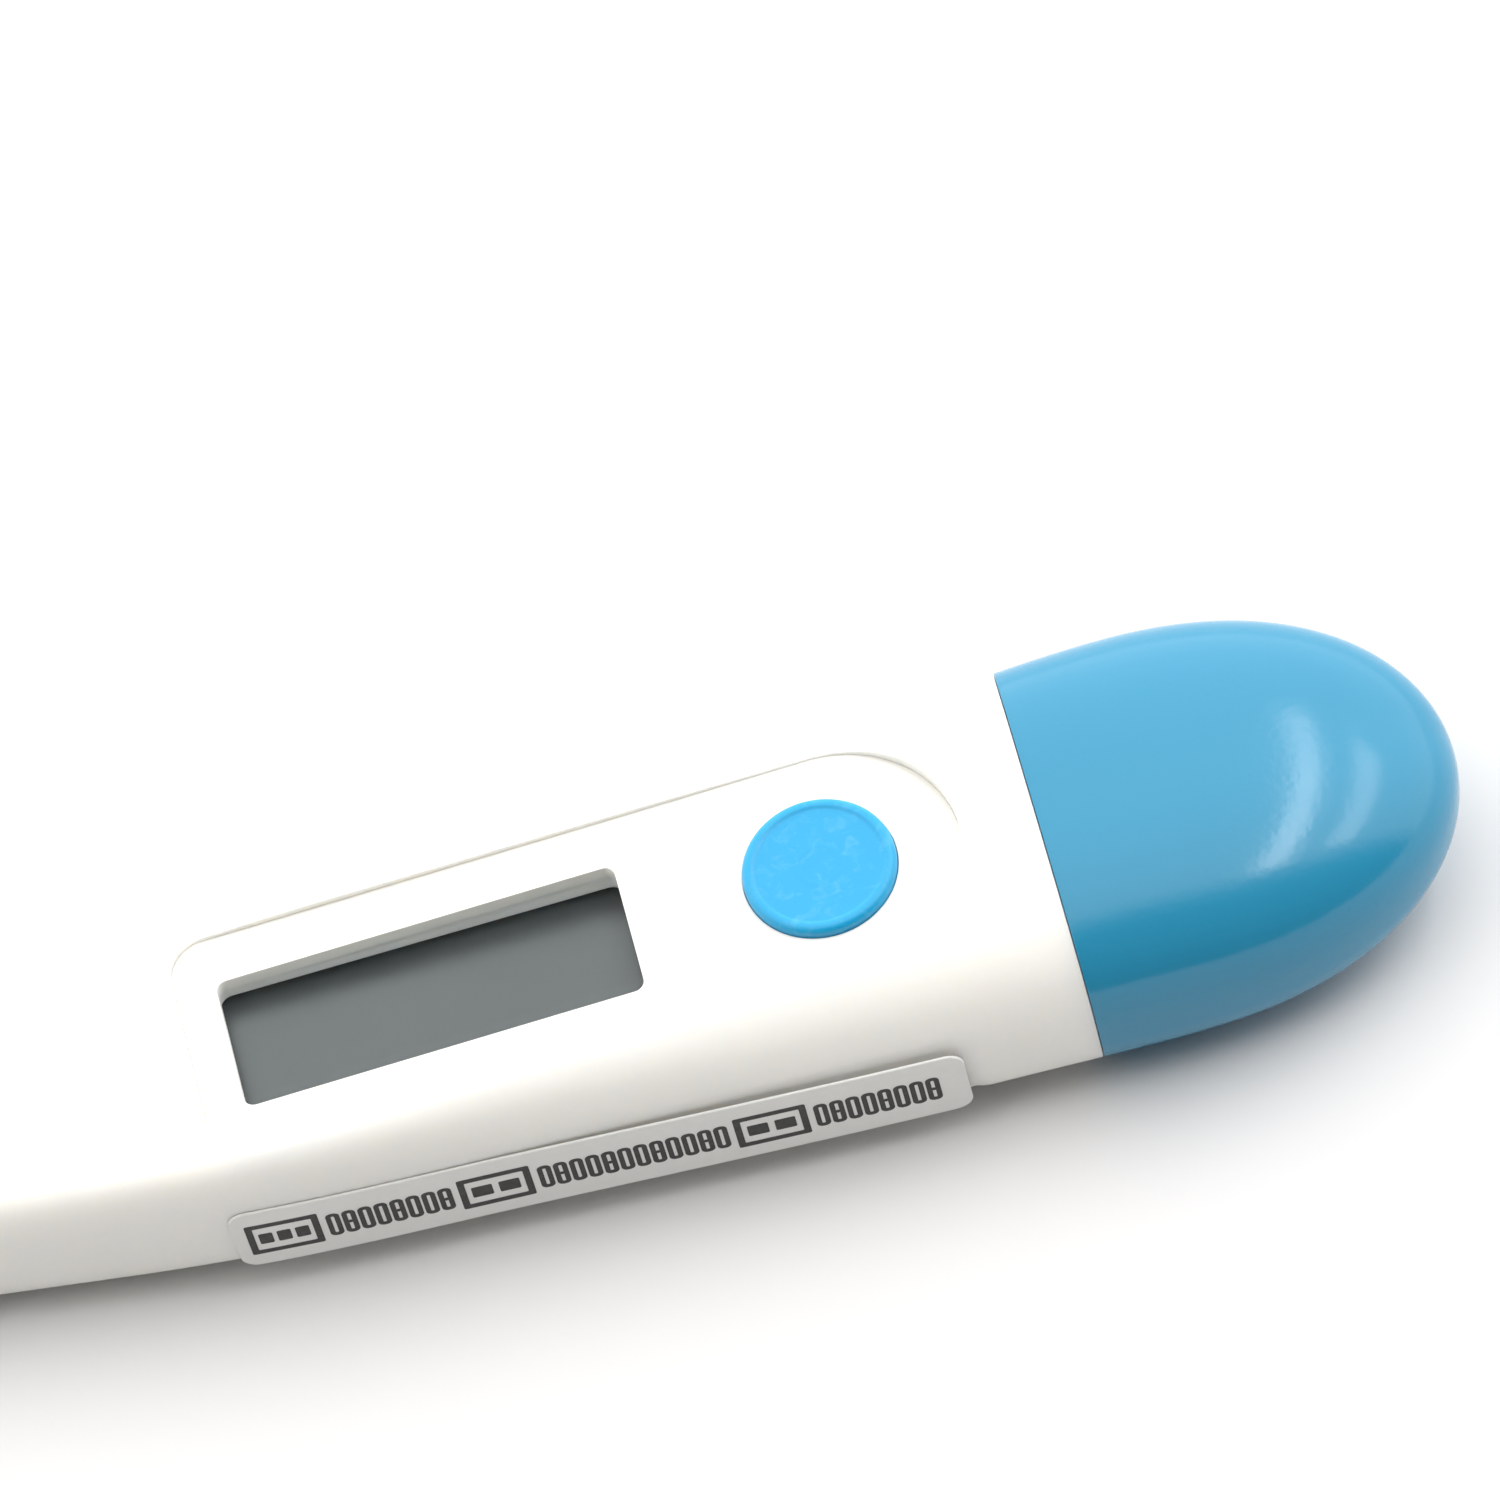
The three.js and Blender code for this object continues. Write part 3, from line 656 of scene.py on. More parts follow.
# cutter for the panel's pocket, whose top edge follows the skin of the case all the way round
def pocketCutter():
    outline = fineOutline(panelOutline(panel["joint"]), 0.3)
    count = len(outline)
    tilt = panel["tilt"]

    def surfaceLevel(x, y):
        z = 0
        for _ in range(3):
            place = panel["x"] + x * cos(tilt) - z * sin(tilt)
            z = (surfaceTop(place, y) - panel["z"] - x * sin(tilt)) / cos(tilt)
        return z

    outward = []
    for i in range(count):
        before, after = outline[i - 1], outline[(i + 1) % count]
        along = Vector((after[0] - before[0], after[1] - before[1])).normalized()
        outward.append(Vector((along.y, -along.x)))
    bottom = -panel["thickness"] - panel["seat"]
    lip = caseFinish["lip"]
    rings = [[(x, y, bottom) for x, y in outline]]
    for turn in (0, pi / 8, pi / 4, 3 * pi / 8, pi / 2 * caseFinish["lipTurn"]):
        ring = []
        for (x, y), out in zip(outline, outward):
            away = lip * (1 - cos(turn))
            a, b = x + out.x * away, y + out.y * away
            lift = caseFinish["lipLift"] * turn
            ring.append((a, b, surfaceLevel(a, b) - lip * (1 - sin(turn)) + lift))
        rings.append(ring)
    top, poleX = 4, 12
    rings.append([(x, y, top) for x, y, z in rings[-1]])
    cutter = skinRings("pocket cutter", rings, (poleX, 0, bottom), (poleX, 0, top))
    cutter.data.transform(panelMatrix)
    return finishMesh(cutter)


def panelPrism(name, outline, low, high):
    cutter = prism(name, outline, low, high)
    cutter.data.transform(panelMatrix)
    return cutter


def boxSolid(x0, x1, y0, y1, z0, z1):
    return prism("box", [(x0, y0), (x1, y0), (x1, y1), (x0, y1)], z0, z1)


# box that reaches the same way to both sides of the middle
def middleBox(start, end, half, low, high):
    return boxSolid(start, end, -half, half, low, high)


def makeMainCase():
    case = finishMesh(skinRings("mainCase", mainCaseRings(), loop=True))
    rimUnderside = windowTop + caseShape["rimOverWindow"]
    rim = middleBox(*caseShape["rim"], rimUnderside, caseShape["deckUnderside"] + 0.1)
    combine(case, [rim], "UNION")
    bay = middleBox(*caseShape["bay"], boardTop, rimUnderside)
    cutDepth = -3
    opening = panelPrism("opening", openingOutline(caseShape["openingSetBack"]), cutDepth, 0)
    hole = panelPrism("hole", buttonHoleOutline(0), cutDepth, 0)
    combine(case, [bay, pocketCutter(), opening, hole], "DIFFERENCE")
    ribs = [middleBox(*rib, *caseShape["ribHeights"]) for rib in caseShape["ribs"]]
    combine(case, ribs, "UNION")
    return finishMesh(case, 34)


print("making the case")
mainCase = makeMainCase()


def makePanel():
    holes = [openingOutline, buttonHoleOutline]
    piece = plateObject("facePanel", panelOutline, holes, -panel["thickness"], 0, panel["soft"])
    piece.data.transform(panelMatrix)
    finishMesh(piece, 40)
    keepFlatsFlat(piece)
    return piece


button = {
    "radius": 3.42,
    "proud": 0.5,
    "flangeRadius": 4.1,
    "flangeTop": -1.95,
    "flangeBottom": -2.5,
    "plungerRadius": 1.2,
    "plungerEnd": -4.55,
    "draft": 0.02,
    "rim": 0.34,
    "flat": 0.05,  # flat strip between the rim and the raised ring
    "ring": 0.82,  # share of the radius where the soft raised ring ends
    "dish": 0.07,
    "gateRadius": 0.95,  # faint raised circle left by the mould's gate
    "gateRise": 0.012,
    "gateWidth": 0.13,
    "bowl": 0.03,
}


def makeButton():
    r, top = button["radius"], button["proud"]
    rim = button["rim"]
    corners = [
        (0, button["plungerEnd"], 0),
        (button["plungerRadius"], button["plungerEnd"], 0.2),
        (button["plungerRadius"], button["flangeBottom"], 0.15),
        (button["flangeRadius"], button["flangeBottom"], 0.1),
        (button["flangeRadius"], button["flangeTop"], 0.1),
        (r, button["flangeTop"], 0.08),
        (r + button["draft"], top, rim),
        (r - rim - button["flat"], top, 0),
    ]
    line = roundedLine(corners, 7)
    start, end = corners[-1][0], r * button["ring"]
    dish = button["dish"]
    ring = [(start + (end - start) * k / 12, top - dish * easeIn(k / 12)) for k in range(1, 13)]
    bowl = []
    for k in range(1, 41):
        radius = end * (1 - k / 40)
        fromGate = (radius - button["gateRadius"]) / button["gateWidth"]
        gate = button["gateRise"] * math.exp(-(fromGate**2))
        bowl.append((radius, ring[-1][1] - button["bowl"] * sin(pi / 2 * k / 40) + gate))
    piece = turnedPiece("powerButton", line + ring + bowl[:-1] + [(0, bowl[-1][1])])
    place = Vector((panel["buttonX"] - panel["x"], 0, 0)) * mm
    piece.data.transform(panelMatrix @ Matrix.Translation(place))
    return finishMesh(piece, 50)


def makeCap():
    gap = capLow[0] - seamX
    edge = capShape["edge"]
    wall = capShape["wall"]
    floor = capShape["insideFloor"]
    shares = [1 - (1 - k / 90) ** 2.1 for k in range(1, 90)]  # rings crowd together at the end
    outer = []
    for turn in (pi / 2, pi / 3, pi / 6):
        x = capLow[0] + edge * (1 - cos(pi / 2 - turn)) + sliver
        draw = edge * (1 - sin(pi / 2 - turn))
        outer.append(sectionRing({**capSection(gap / capLength), "x": x}, draw))
    first = (gap + edge) / capLength
    reach = capShape["tipShare"] - first
    outer += [sectionRing(capSection(first + reach * u)) for u in [0] + shares]
    inside = []
    last = (capLength - capShape["insideEnd"]) / capLength
    for k in range(41):
        u = last * sin(pi / 2 * k / 40)
        inside.append(sectionRing(capSection(max(u, gap / capLength)), wall, floor))
    end = inside[-1]
    middle = capSection(0)["middle"]
    dome = capShape["insideDome"]
    for k in range(1, 6):
        turn = pi / 2 * k / 6
        shrink = cos(turn)
        ring = end.copy()
        ring[:, 0] += dome * sin(turn)
        ring[:, 1] *= shrink
        ring[:, 2] = middle + (ring[:, 2] - middle) * shrink
        inside.append(ring)
    mouth = {**capSection(gap / capLength), "x": capLow[0] + sliver}
    lip = sectionRing(mouth, wall - capShape["lipSoft"], floor - capShape["lipSoft"])
    inside[0][:, 0] = capLow[0] + capShape["lipBack"]
    rings = inside[::-1] + [lip] + outer
    inner = (capEnd - capShape["insideEnd"] + dome + 0.02, 0, middle)
    piece = skinRings("batteryCap", rings, inner, (capEnd, 0, middle))
    return finishMesh(piece, 40)


seal = {
    "radius": 0.3,
    "seat": 0.12,  # how deep the middle of the ring sits below the neck's surface
    "sides": 16,
}


# a small circle carried round the groove in the neck
def makeSealRing():
    seam = caseSection(seamX)
    x = seamX + caseShape["grooveStart"] + caseShape["grooveWidth"] / 2
    outline = sectionRing({**seam, "x": x}, caseShape["neckInset"] + seal["seat"])
    radius, sides = seal["radius"], seal["sides"]
    turns = [2 * pi * k / sides for k in range(sides)]
    rings = []
    count = len(outline)
    for i in range(count):
        along = Vector(outline[(i + 1) % count] - outline[i - 1]).normalized()
        out = along.cross(Vector((1, 0, 0))).normalized()
        middle = Vector(outline[i])
        side = Vector((radius, 0, 0))
        rings.append([middle + out * radius * cos(t) + side * sin(t) for t in turns])
    return finishMesh(skinRings("capSealRing", rings, loop=True), 60)


label = {
    "corner": 0.8,
    "soft": 0.03,
    "off": (0.02, 0.14),  # how far its two faces stand off the wall
    "ink": (-0.01, 0.012),  # the same for the print, from the label's own face
    "rowMiddle": 4.35,
    "rowHeight": 1.85,
    "stroke": 0.235,
    "margin": 0.57,
    "frameWidth": 3.25,
    "frameGrow": 0.3,  # how far a frame stands above and below the row
    "frameStroke": 1.35,  # times the stroke
    "frameInside": 0.4,
    "barStart": 0.12,  # shares of the room that each bar has
    "barWidth": 0.76,
    "barHalf": 0.42,
    "pitch": 0.715,  # from one ring mark to the next
    "ringWidth": 0.62,
    "ringCorner": 0.42,  # share of its width
    "middleBarHalf": 0.11,
    "gaps": (0.3, 0.2),  # after a frame and after its rings
    "groups": ((3, 8), (2, 12), (2, 8)),  # bars in a frame, then ring marks
}


def wallAt(x, out):
    return -(caseSection(x)["half"] + out)


def makeLabel():
    x0, x1 = labelLow[0], labelHigh[0]
    z0, z1 = labelLow[2], labelHigh[2]
    corner = label["corner"]
    arc = [corner * (1 - cos(pi / 2 * k / 8)) for k in range(9)]
    straight = evenSteps(x0 + corner, x1 - corner, 0.5)[1:-1]
    columns = [x0 + a for a in arc] + straight + [x1 - a for a in arc[::-1]]
    rings = []
    for x in columns:
        near = min(x - x0, x1 - x)
        cut = 0
        if near < corner:
            cut = corner - math.sqrt(max(corner**2 - (corner - near) ** 2, 0))
        heights = [z0 + cut + (z1 - z0 - 2 * cut) * k / 10 for k in range(11)]
        inner, outer = label["off"]
        soft = label["soft"]
        ring = [(x, wallAt(x, inner), z) for z in heights]
        ring += [(x, wallAt(x, outer - soft), z1 - cut), (x, wallAt(x, outer), z1 - cut - soft)]
        ring += [(x, wallAt(x, outer), z) for z in heights[-2:0:-1]]
        ring += [(x, wallAt(x, outer), z0 + cut + soft), (x, wallAt(x, outer - soft), z0 + cut)]
        rings.append(ring)
    startMiddle = tuple(np.mean(rings[0], axis=0))
    endMiddle = tuple(np.mean(rings[-1], axis=0))
    return finishMesh(skinRings("sideLabel", rings, startMiddle, endMiddle), 40)


# thin ink pieces standing on the label: each mark is an outline with an optional hole
def makeLabelPrint():
    marks = []
    stroke = label["stroke"]
    middle, tall = label["rowMiddle"], label["rowHeight"]
    low, high = middle - tall / 2, middle + tall / 2

    def frameMark(x, width):
        grow = label["frameGrow"]
        outer = roundedRectangle(x, x + width, low - grow, high + grow, 0.1, 3)
        thick = stroke * label["frameStroke"]
        bottom, top = low - grow + thick, high + grow - thick
        inner = roundedRectangle(x + thick, x + width - thick, bottom, top, 0.06, 3)
        marks.append((outer, inner))

    def barMark(x, width, half):
        marks.append((roundedRectangle(x, x + width, middle - half, middle + half, 0.08, 3), None))

    def ringMark(x):
        width = label["ringWidth"]
        share = label["ringCorner"]
        outer = roundedRectangle(x, x + width, low, high, width * share, 5)
        corner = (width - 2 * stroke) * share
        bottom, top = low + stroke, high - stroke
        inner = roundedRectangle(x + stroke, x + width - stroke, bottom, top, corner, 5)
        marks.append((outer, inner))

    x = labelLow[0] + label["margin"]
    width, margin = label["frameWidth"], label["frameInside"]
    for bars, rings in label["groups"]:
        frameMark(x, width)
        for k in range(bars):
            room = (width - 2 * margin) / bars
            start = x + margin + room * (k + label["barStart"])
            barMark(start, room * label["barWidth"], label["barHalf"])
        x += width + label["gaps"][0]
        for k in range(rings):
            ringMark(x)
            if k % 3 == 1:
                across = label["ringWidth"] - stroke * 1.8
                barMark(x + stroke * 0.9, across, label["middleBarHalf"])
            x += label["pitch"]
        x += label["gaps"][1]
    points, faces = [], []
    for outer, inner in marks:
        loops = [outer] if inner is None else [outer, inner]
        count = len(outer)
        base = len(points)
        for depth in [label["off"][1] + rise for rise in label["ink"]]:
            for loop in loops:
                points += [(a, wallAt(a, depth), b) for a, b in loop]
        layer = count * len(loops)
        for start in range(0, layer, count):
            for i in range(count):
                j = (i + 1) % count
                a, b = base + start + i, base + start + j
                faces.append((a, b, b + layer, a + layer))
        if inner is None:
            faces.append(tuple(base + i for i in range(count))[::-1])
            faces.append(tuple(base + layer + i for i in range(count)))
        else:
            for first, flip in ((base, True), (base + layer, False)):
                for i in range(count):
                    j = (i + 1) % count
                    quad = (first + i, first + j, first + count + j, first + count + i)
                    faces.append(quad[::-1] if flip else quad)
    return finishMesh(meshObject("labelPrint", points, faces), 30)


tip = {
    "skin": 0.2,
    "rolledEdge": 0.06,
}


def makeProbeTip():
    axis = caseShape["stemAxis"]
    radius = (tipHigh[2] - tipLow[2]) / 2
    length = tipHigh[0] - tipLow[0]
    skin, edge = tip["skin"], tip["rolledEdge"]

    def dome(r, count):
        turns = [pi / 2 * k / count for k in range(count + 1)]
        return [(r * sin(t), radius - r * cos(t)) for t in turns]

    outside = dome(radius, 20)
    shaft = [(radius, z) for z in evenSteps(radius, length - edge, 0.8)[1:]]
    rolled = [(radius - edge / 3, length - edge / 3), (radius - edge, length)]
    rolled.append((radius - skin + 0.03, length))
    inside = [(radius - skin, length - 0.05)] + dome(radius - skin, 12)[::-1]
    piece = turnedPiece("probeTip", outside + shaft + rolled + inside, sides=96)
    place = Matrix.Translation(Vector((tipLow[0], 0, axis)) * mm)
    piece.data.transform(place @ Matrix.Rotation(pi / 2, 4, "Y"))
    return finishMesh(piece, 45)


cell = {
    "capRadius": 3.1,  # the smaller terminal, facing down
    "sealRadius": (3.3, 3.62),
    "sealHeight": (0.4, 0.34),
    "canHeight": 0.55,
    "faceRadius": 3.3,
    "faceSink": 0.03,
    "plusAt": (-2.6, 2.1),  # clear of the contact
    "plusHalf": (0.62, 0.14),
    "plusDepth": 0.06,
}


def makeCell():
    x = (cellLow[0] + cellHigh[0]) / 2
    low, high = cellLow[2], cellHigh[2]
    r = (cellHigh[0] - cellLow[0]) / 2
    corners = [
        (0, low, 0),
        (cell["capRadius"], low, 0.12),
        (cell["sealRadius"][0], low + cell["sealHeight"][0], 0.1),
        (cell["sealRadius"][1], low + cell["sealHeight"][1], 0.05),
        (r, low + cell["canHeight"], 0.2),
        (r, high, 0.22),
        (cell["faceRadius"], high, 0),
        (cell["faceRadius"] - 0.1, high - cell["faceSink"], 0),
        (0, high - cell["faceSink"], 0),
    ]
    piece = finishMesh(turnedPiece("batteryCell", roundedLine(corners, 5), (x, 0, 0), 96), 35)
    # plus mark pressed into the can
    level = high - cell["faceSink"]
    bottom = level - cell["plusDepth"]
    markX, markY = x + cell["plusAt"][0], cell["plusAt"][1]
    long, wide = cell["plusHalf"]
    arms = ((long, wide), (wide, long))
    plus = [boxSolid(markX - a, markX + a, markY - b, markY + b, bottom, level + 1) for a, b in arms]
    combine(piece, plus, "DIFFERENCE")
    return finishMesh(piece, 35)


tray = {
    "outer": 5,
    "pocket": 4.15,
    "floor": 0.4,
    "tongueHalf": 3.9,
    "tongueOverlap": 0.3,
    "slotStart": 45,
    "slotHalf": 2.4,
    "notchHalf": 1.7,
    "notchBottom": 5,
}


def makeTray():
    x = (cellLow[0] + cellHigh[0]) / 2
    low, high = trayLow[2], trayHigh[2]
    floorTop = low + tray["floor"]
    outer, pocket = tray["outer"], tray["pocket"]
    corners = [
        (0, low, 0),
        (outer, low, 0.15),
        (outer, high, 0.18),
        (pocket, high, 0.2),
        (pocket, floorTop, 0.12),
        (0, floorTop, 0),
    ]
    piece = finishMesh(turnedPiece("batteryTray", roundedLine(corners, 4), (x, 0, 0), 96), 35)
    tongueEnd = x - pocket - tray["tongueOverlap"]
    tongue = middleBox(trayLow[0], tongueEnd, tray["tongueHalf"], low + sliver, floorTop - sliver)
    combine(piece, [tongue], "UNION")
    half = tray["slotHalf"]
    slot = middleBox(tray["slotStart"], x - half, half, floorTop + sliver, high + 1)
    notch = middleBox(x + 3, x + 6, tray["notchHalf"], tray["notchBottom"], high + 1)
    combine(piece, [slot, notch], "DIFFERENCE")
    return finishMesh(piece, 35)


# bent strip: a line of (x, z, bend radius) given thickness, then width along Y
def stripPiece(name, corners, thickness, width):
    line = [Vector(p) for p in roundedLine(corners, 6)]
    count = len(line)
    above, below = [], []
    for i, p in enumerate(line):
        along = line[min(i + 1, count - 1)] - line[max(i - 1, 0)]
        out = Vector((-along.y, along.x)).normalized() * thickness / 2
        above.append(p + out)
        below.append(p - out)
    rings = []
    soft = thickness * 0.3
    for i in range(count):
        half = width / 2
        a, b = above[i], below[i]
        inward = (b - a).normalized() * soft
        ring = [(a.x, -half + soft, a.y), (a.x, half - soft, a.y)]
        ring += [(a.x + inward.x, half, a.y + inward.y), (b.x - inward.x, half, b.y - inward.y)]
        ring += [(b.x, half - soft, b.y), (b.x, -half + soft, b.y)]
        ring += [(b.x - inward.x, -half, b.y - inward.y), (a.x + inward.x, -half, a.y + inward.y)]
        rings.append(ring)
    start = tuple(np.mean(rings[0], axis=0))
    end = tuple(np.mean(rings[-1], axis=0))
    return finishMesh(skinRings(name, rings, start, end), 40)


contact = {
    # x, z and bend radius: flat on the tray, up beside the cell, along its top and a lifted end
    "line": ((41.4, 4.83, 0), (46.3, 4.83, 0.5), (47.6, 7.56, 0.5), (53.5, 7.56, 0.6), (54.2, 7.85, 0)),
    "thickness": 0.16,
    "width": 3,
}


def makePositiveContact():
    return stripPiece("positiveContact", contact["line"], contact["thickness"], contact["width"])


facePanel = makePanel()
powerButton = makeButton()
batteryCap = makeCap()
capSealRing = makeSealRing()
sideLabel = makeLabel()
labelPrint = makeLabelPrint()
probeTip = makeProbeTip()
batteryCell = makeCell()
batteryTray = makeTray()
positiveContact = makePositiveContact()
print("pieces made")


def newMaterial(name):
    material = bpy.data.materials.new(name)
    material.use_nodes = True
    tree = material.node_tree
    return material, tree, tree.nodes["Principled BSDF"], addNode(tree, "TexCoord").outputs["Object"]


def setShader(shader, values):
    for key, value in values.items():
        shader.inputs[key].default_value = value


# noise between two colours, in patches of a real size
def colourPatches(tree, place, hexes, size, detail=3):
    noise = addNode(tree, "TexNoise", {"Scale": 1 / (size * mm), "Detail": detail}, {"Vector": place})
    colours = {6: hexToLinear(hexes[0]), 7: hexToLinear(hexes[1]), "data_type": "RGBA"}
    return addNode(tree, "Mix", colours, {0: noise.outputs["Fac"]}).outputs[2]


# the same for a plain value
def valuePatches(tree, place, values, size, detail=3):
    noise = addNode(tree, "TexNoise", {"Scale": 1 / (size * mm), "Detail": detail}, {"Vector": place})
    limits = {"From Min": 0.2, "From Max": 0.8, "To Min": values[0], "To Max": values[1]}
    limits["interpolation_type"] = "SMOOTHSTEP"
    return addNode(tree, "MapRange", limits, {"Value": noise.outputs["Fac"]}).outputs["Result"]


# fine relief from noise of a real size
def addRelief(tree, place, shader, size, depth, detail):
    noise = addNode(tree, "TexNoise", {"Scale": 1 / (size * mm), "Detail": detail}, {"Vector": place})
    bump = {"Strength": 1, "Distance": depth * mm}
    bumped = addNode(tree, "Bump", bump, {"Height": noise.outputs["Fac"]})
    tree.links.new(bumped.outputs["Normal"], shader.inputs["Normal"])


# moulded plastics: orange peel of a real cell size and a slow change of tint and gloss
plastics = {
    # clean warm white, softly glossy, with light bleeding a little way round the edges
    "case": {
        "name": "white ABS, injection moulded",
        "hexes": ("#F6F5F0", "#F4F2EC"),
        "roughness": (0.3, 0.36),
        "peel": 0.5,
        "depth": 0.004,
        "set": {"IOR": 1.53, "Subsurface Weight": 0.5, "Subsurface Scale": 0.0012},
    },
    # the same white, a touch flatter and duller, so the inlay reads as its own moulding
    "panel": {
        "name": "white ABS, moulded flat panel",
        "hexes": ("#F7F6F1", "#F5F3EE"),
        "roughness": (0.34, 0.4),
        "peel": 0.4,
        "depth": 0.003,
        "set": {"IOR": 1.53, "Subsurface Weight": 0.15, "Subsurface Scale": 0.0006},
    },
    # cooler milky white with hardly any gloss, plainly a cheaper inner moulding
    "tray": {
        "name": "white ABS, moulded matt",
        "hexes": ("#E9E8E2", "#E2E1DA"),
        "roughness": (0.5, 0.6),
        "peel": 0.25,
        "depth": 0.01,
        "set": {"IOR": 1.49},
    },
    # even sky blue whose gloss mirrors the lights as crisp curved streaks
    "cap": {
        "name": "sky blue ABS, moulded glossy",
        "hexes": ("#2D8AAF", "#2A87AC"),
        "roughness": (0.14, 0.18),
        "peel": 0.35,
        "depth": 0.006,
        "set": {"IOR": 1.48},
    },
    # a brighter blue than the cap, soft looking, with faint pale scuffs from thumbs
    "button": {
        "name": "bright blue TPE, moulded soft",
        "scuffs": ("#A8E2F8", 0.1, 0.8),  # colour, strength and size in mm
        "hexes": ("#149FD2", "#119CCF"),
        "roughness": (0.36, 0.46),
        "peel": 0.3,
        "depth": 0.006,
        "set": {"IOR": 1.5, "Subsurface Weight": 0.25, "Subsurface Scale": 0.0009},
    },
}


def plasticMaterial(look):
    material, tree, shader, place = newMaterial(look["name"])
    setShader(shader, look["set"])
    if "Subsurface Weight" in look["set"]:
        setShader(shader, {"Subsurface Radius": (1.0, 0.9, 0.7)})
    tintSize, glossSize = 9, 4
    colour = colourPatches(tree, place, look["hexes"], tintSize)
    if "scuffs" in look:
        hexCode, share, size = look["scuffs"]
        settings = {"Scale": 1 / (size * mm), "Detail": 5, "Distortion": 1.2}
        marks = addNode(tree, "TexNoise", settings, {"Vector": place})
        limits = {"From Min": 0.52, "From Max": 0.74, "To Max": share}
        worn = addNode(tree, "MapRange", limits, {"Value": marks.outputs["Fac"]}).outputs["Result"]
        mix = addNode(tree, "MixRGB", {"Color2": hexToLinear(hexCode)}, {"Fac": worn, "Color1": colour})
        colour = mix.outputs["Color"]
    tree.links.new(colour, shader.inputs["Base Color"])
    tree.links.new(valuePatches(tree, place, look["roughness"], glossSize), shader.inputs["Roughness"])
    addRelief(tree, place, shader, look["peel"], look["depth"], 2)
    return material


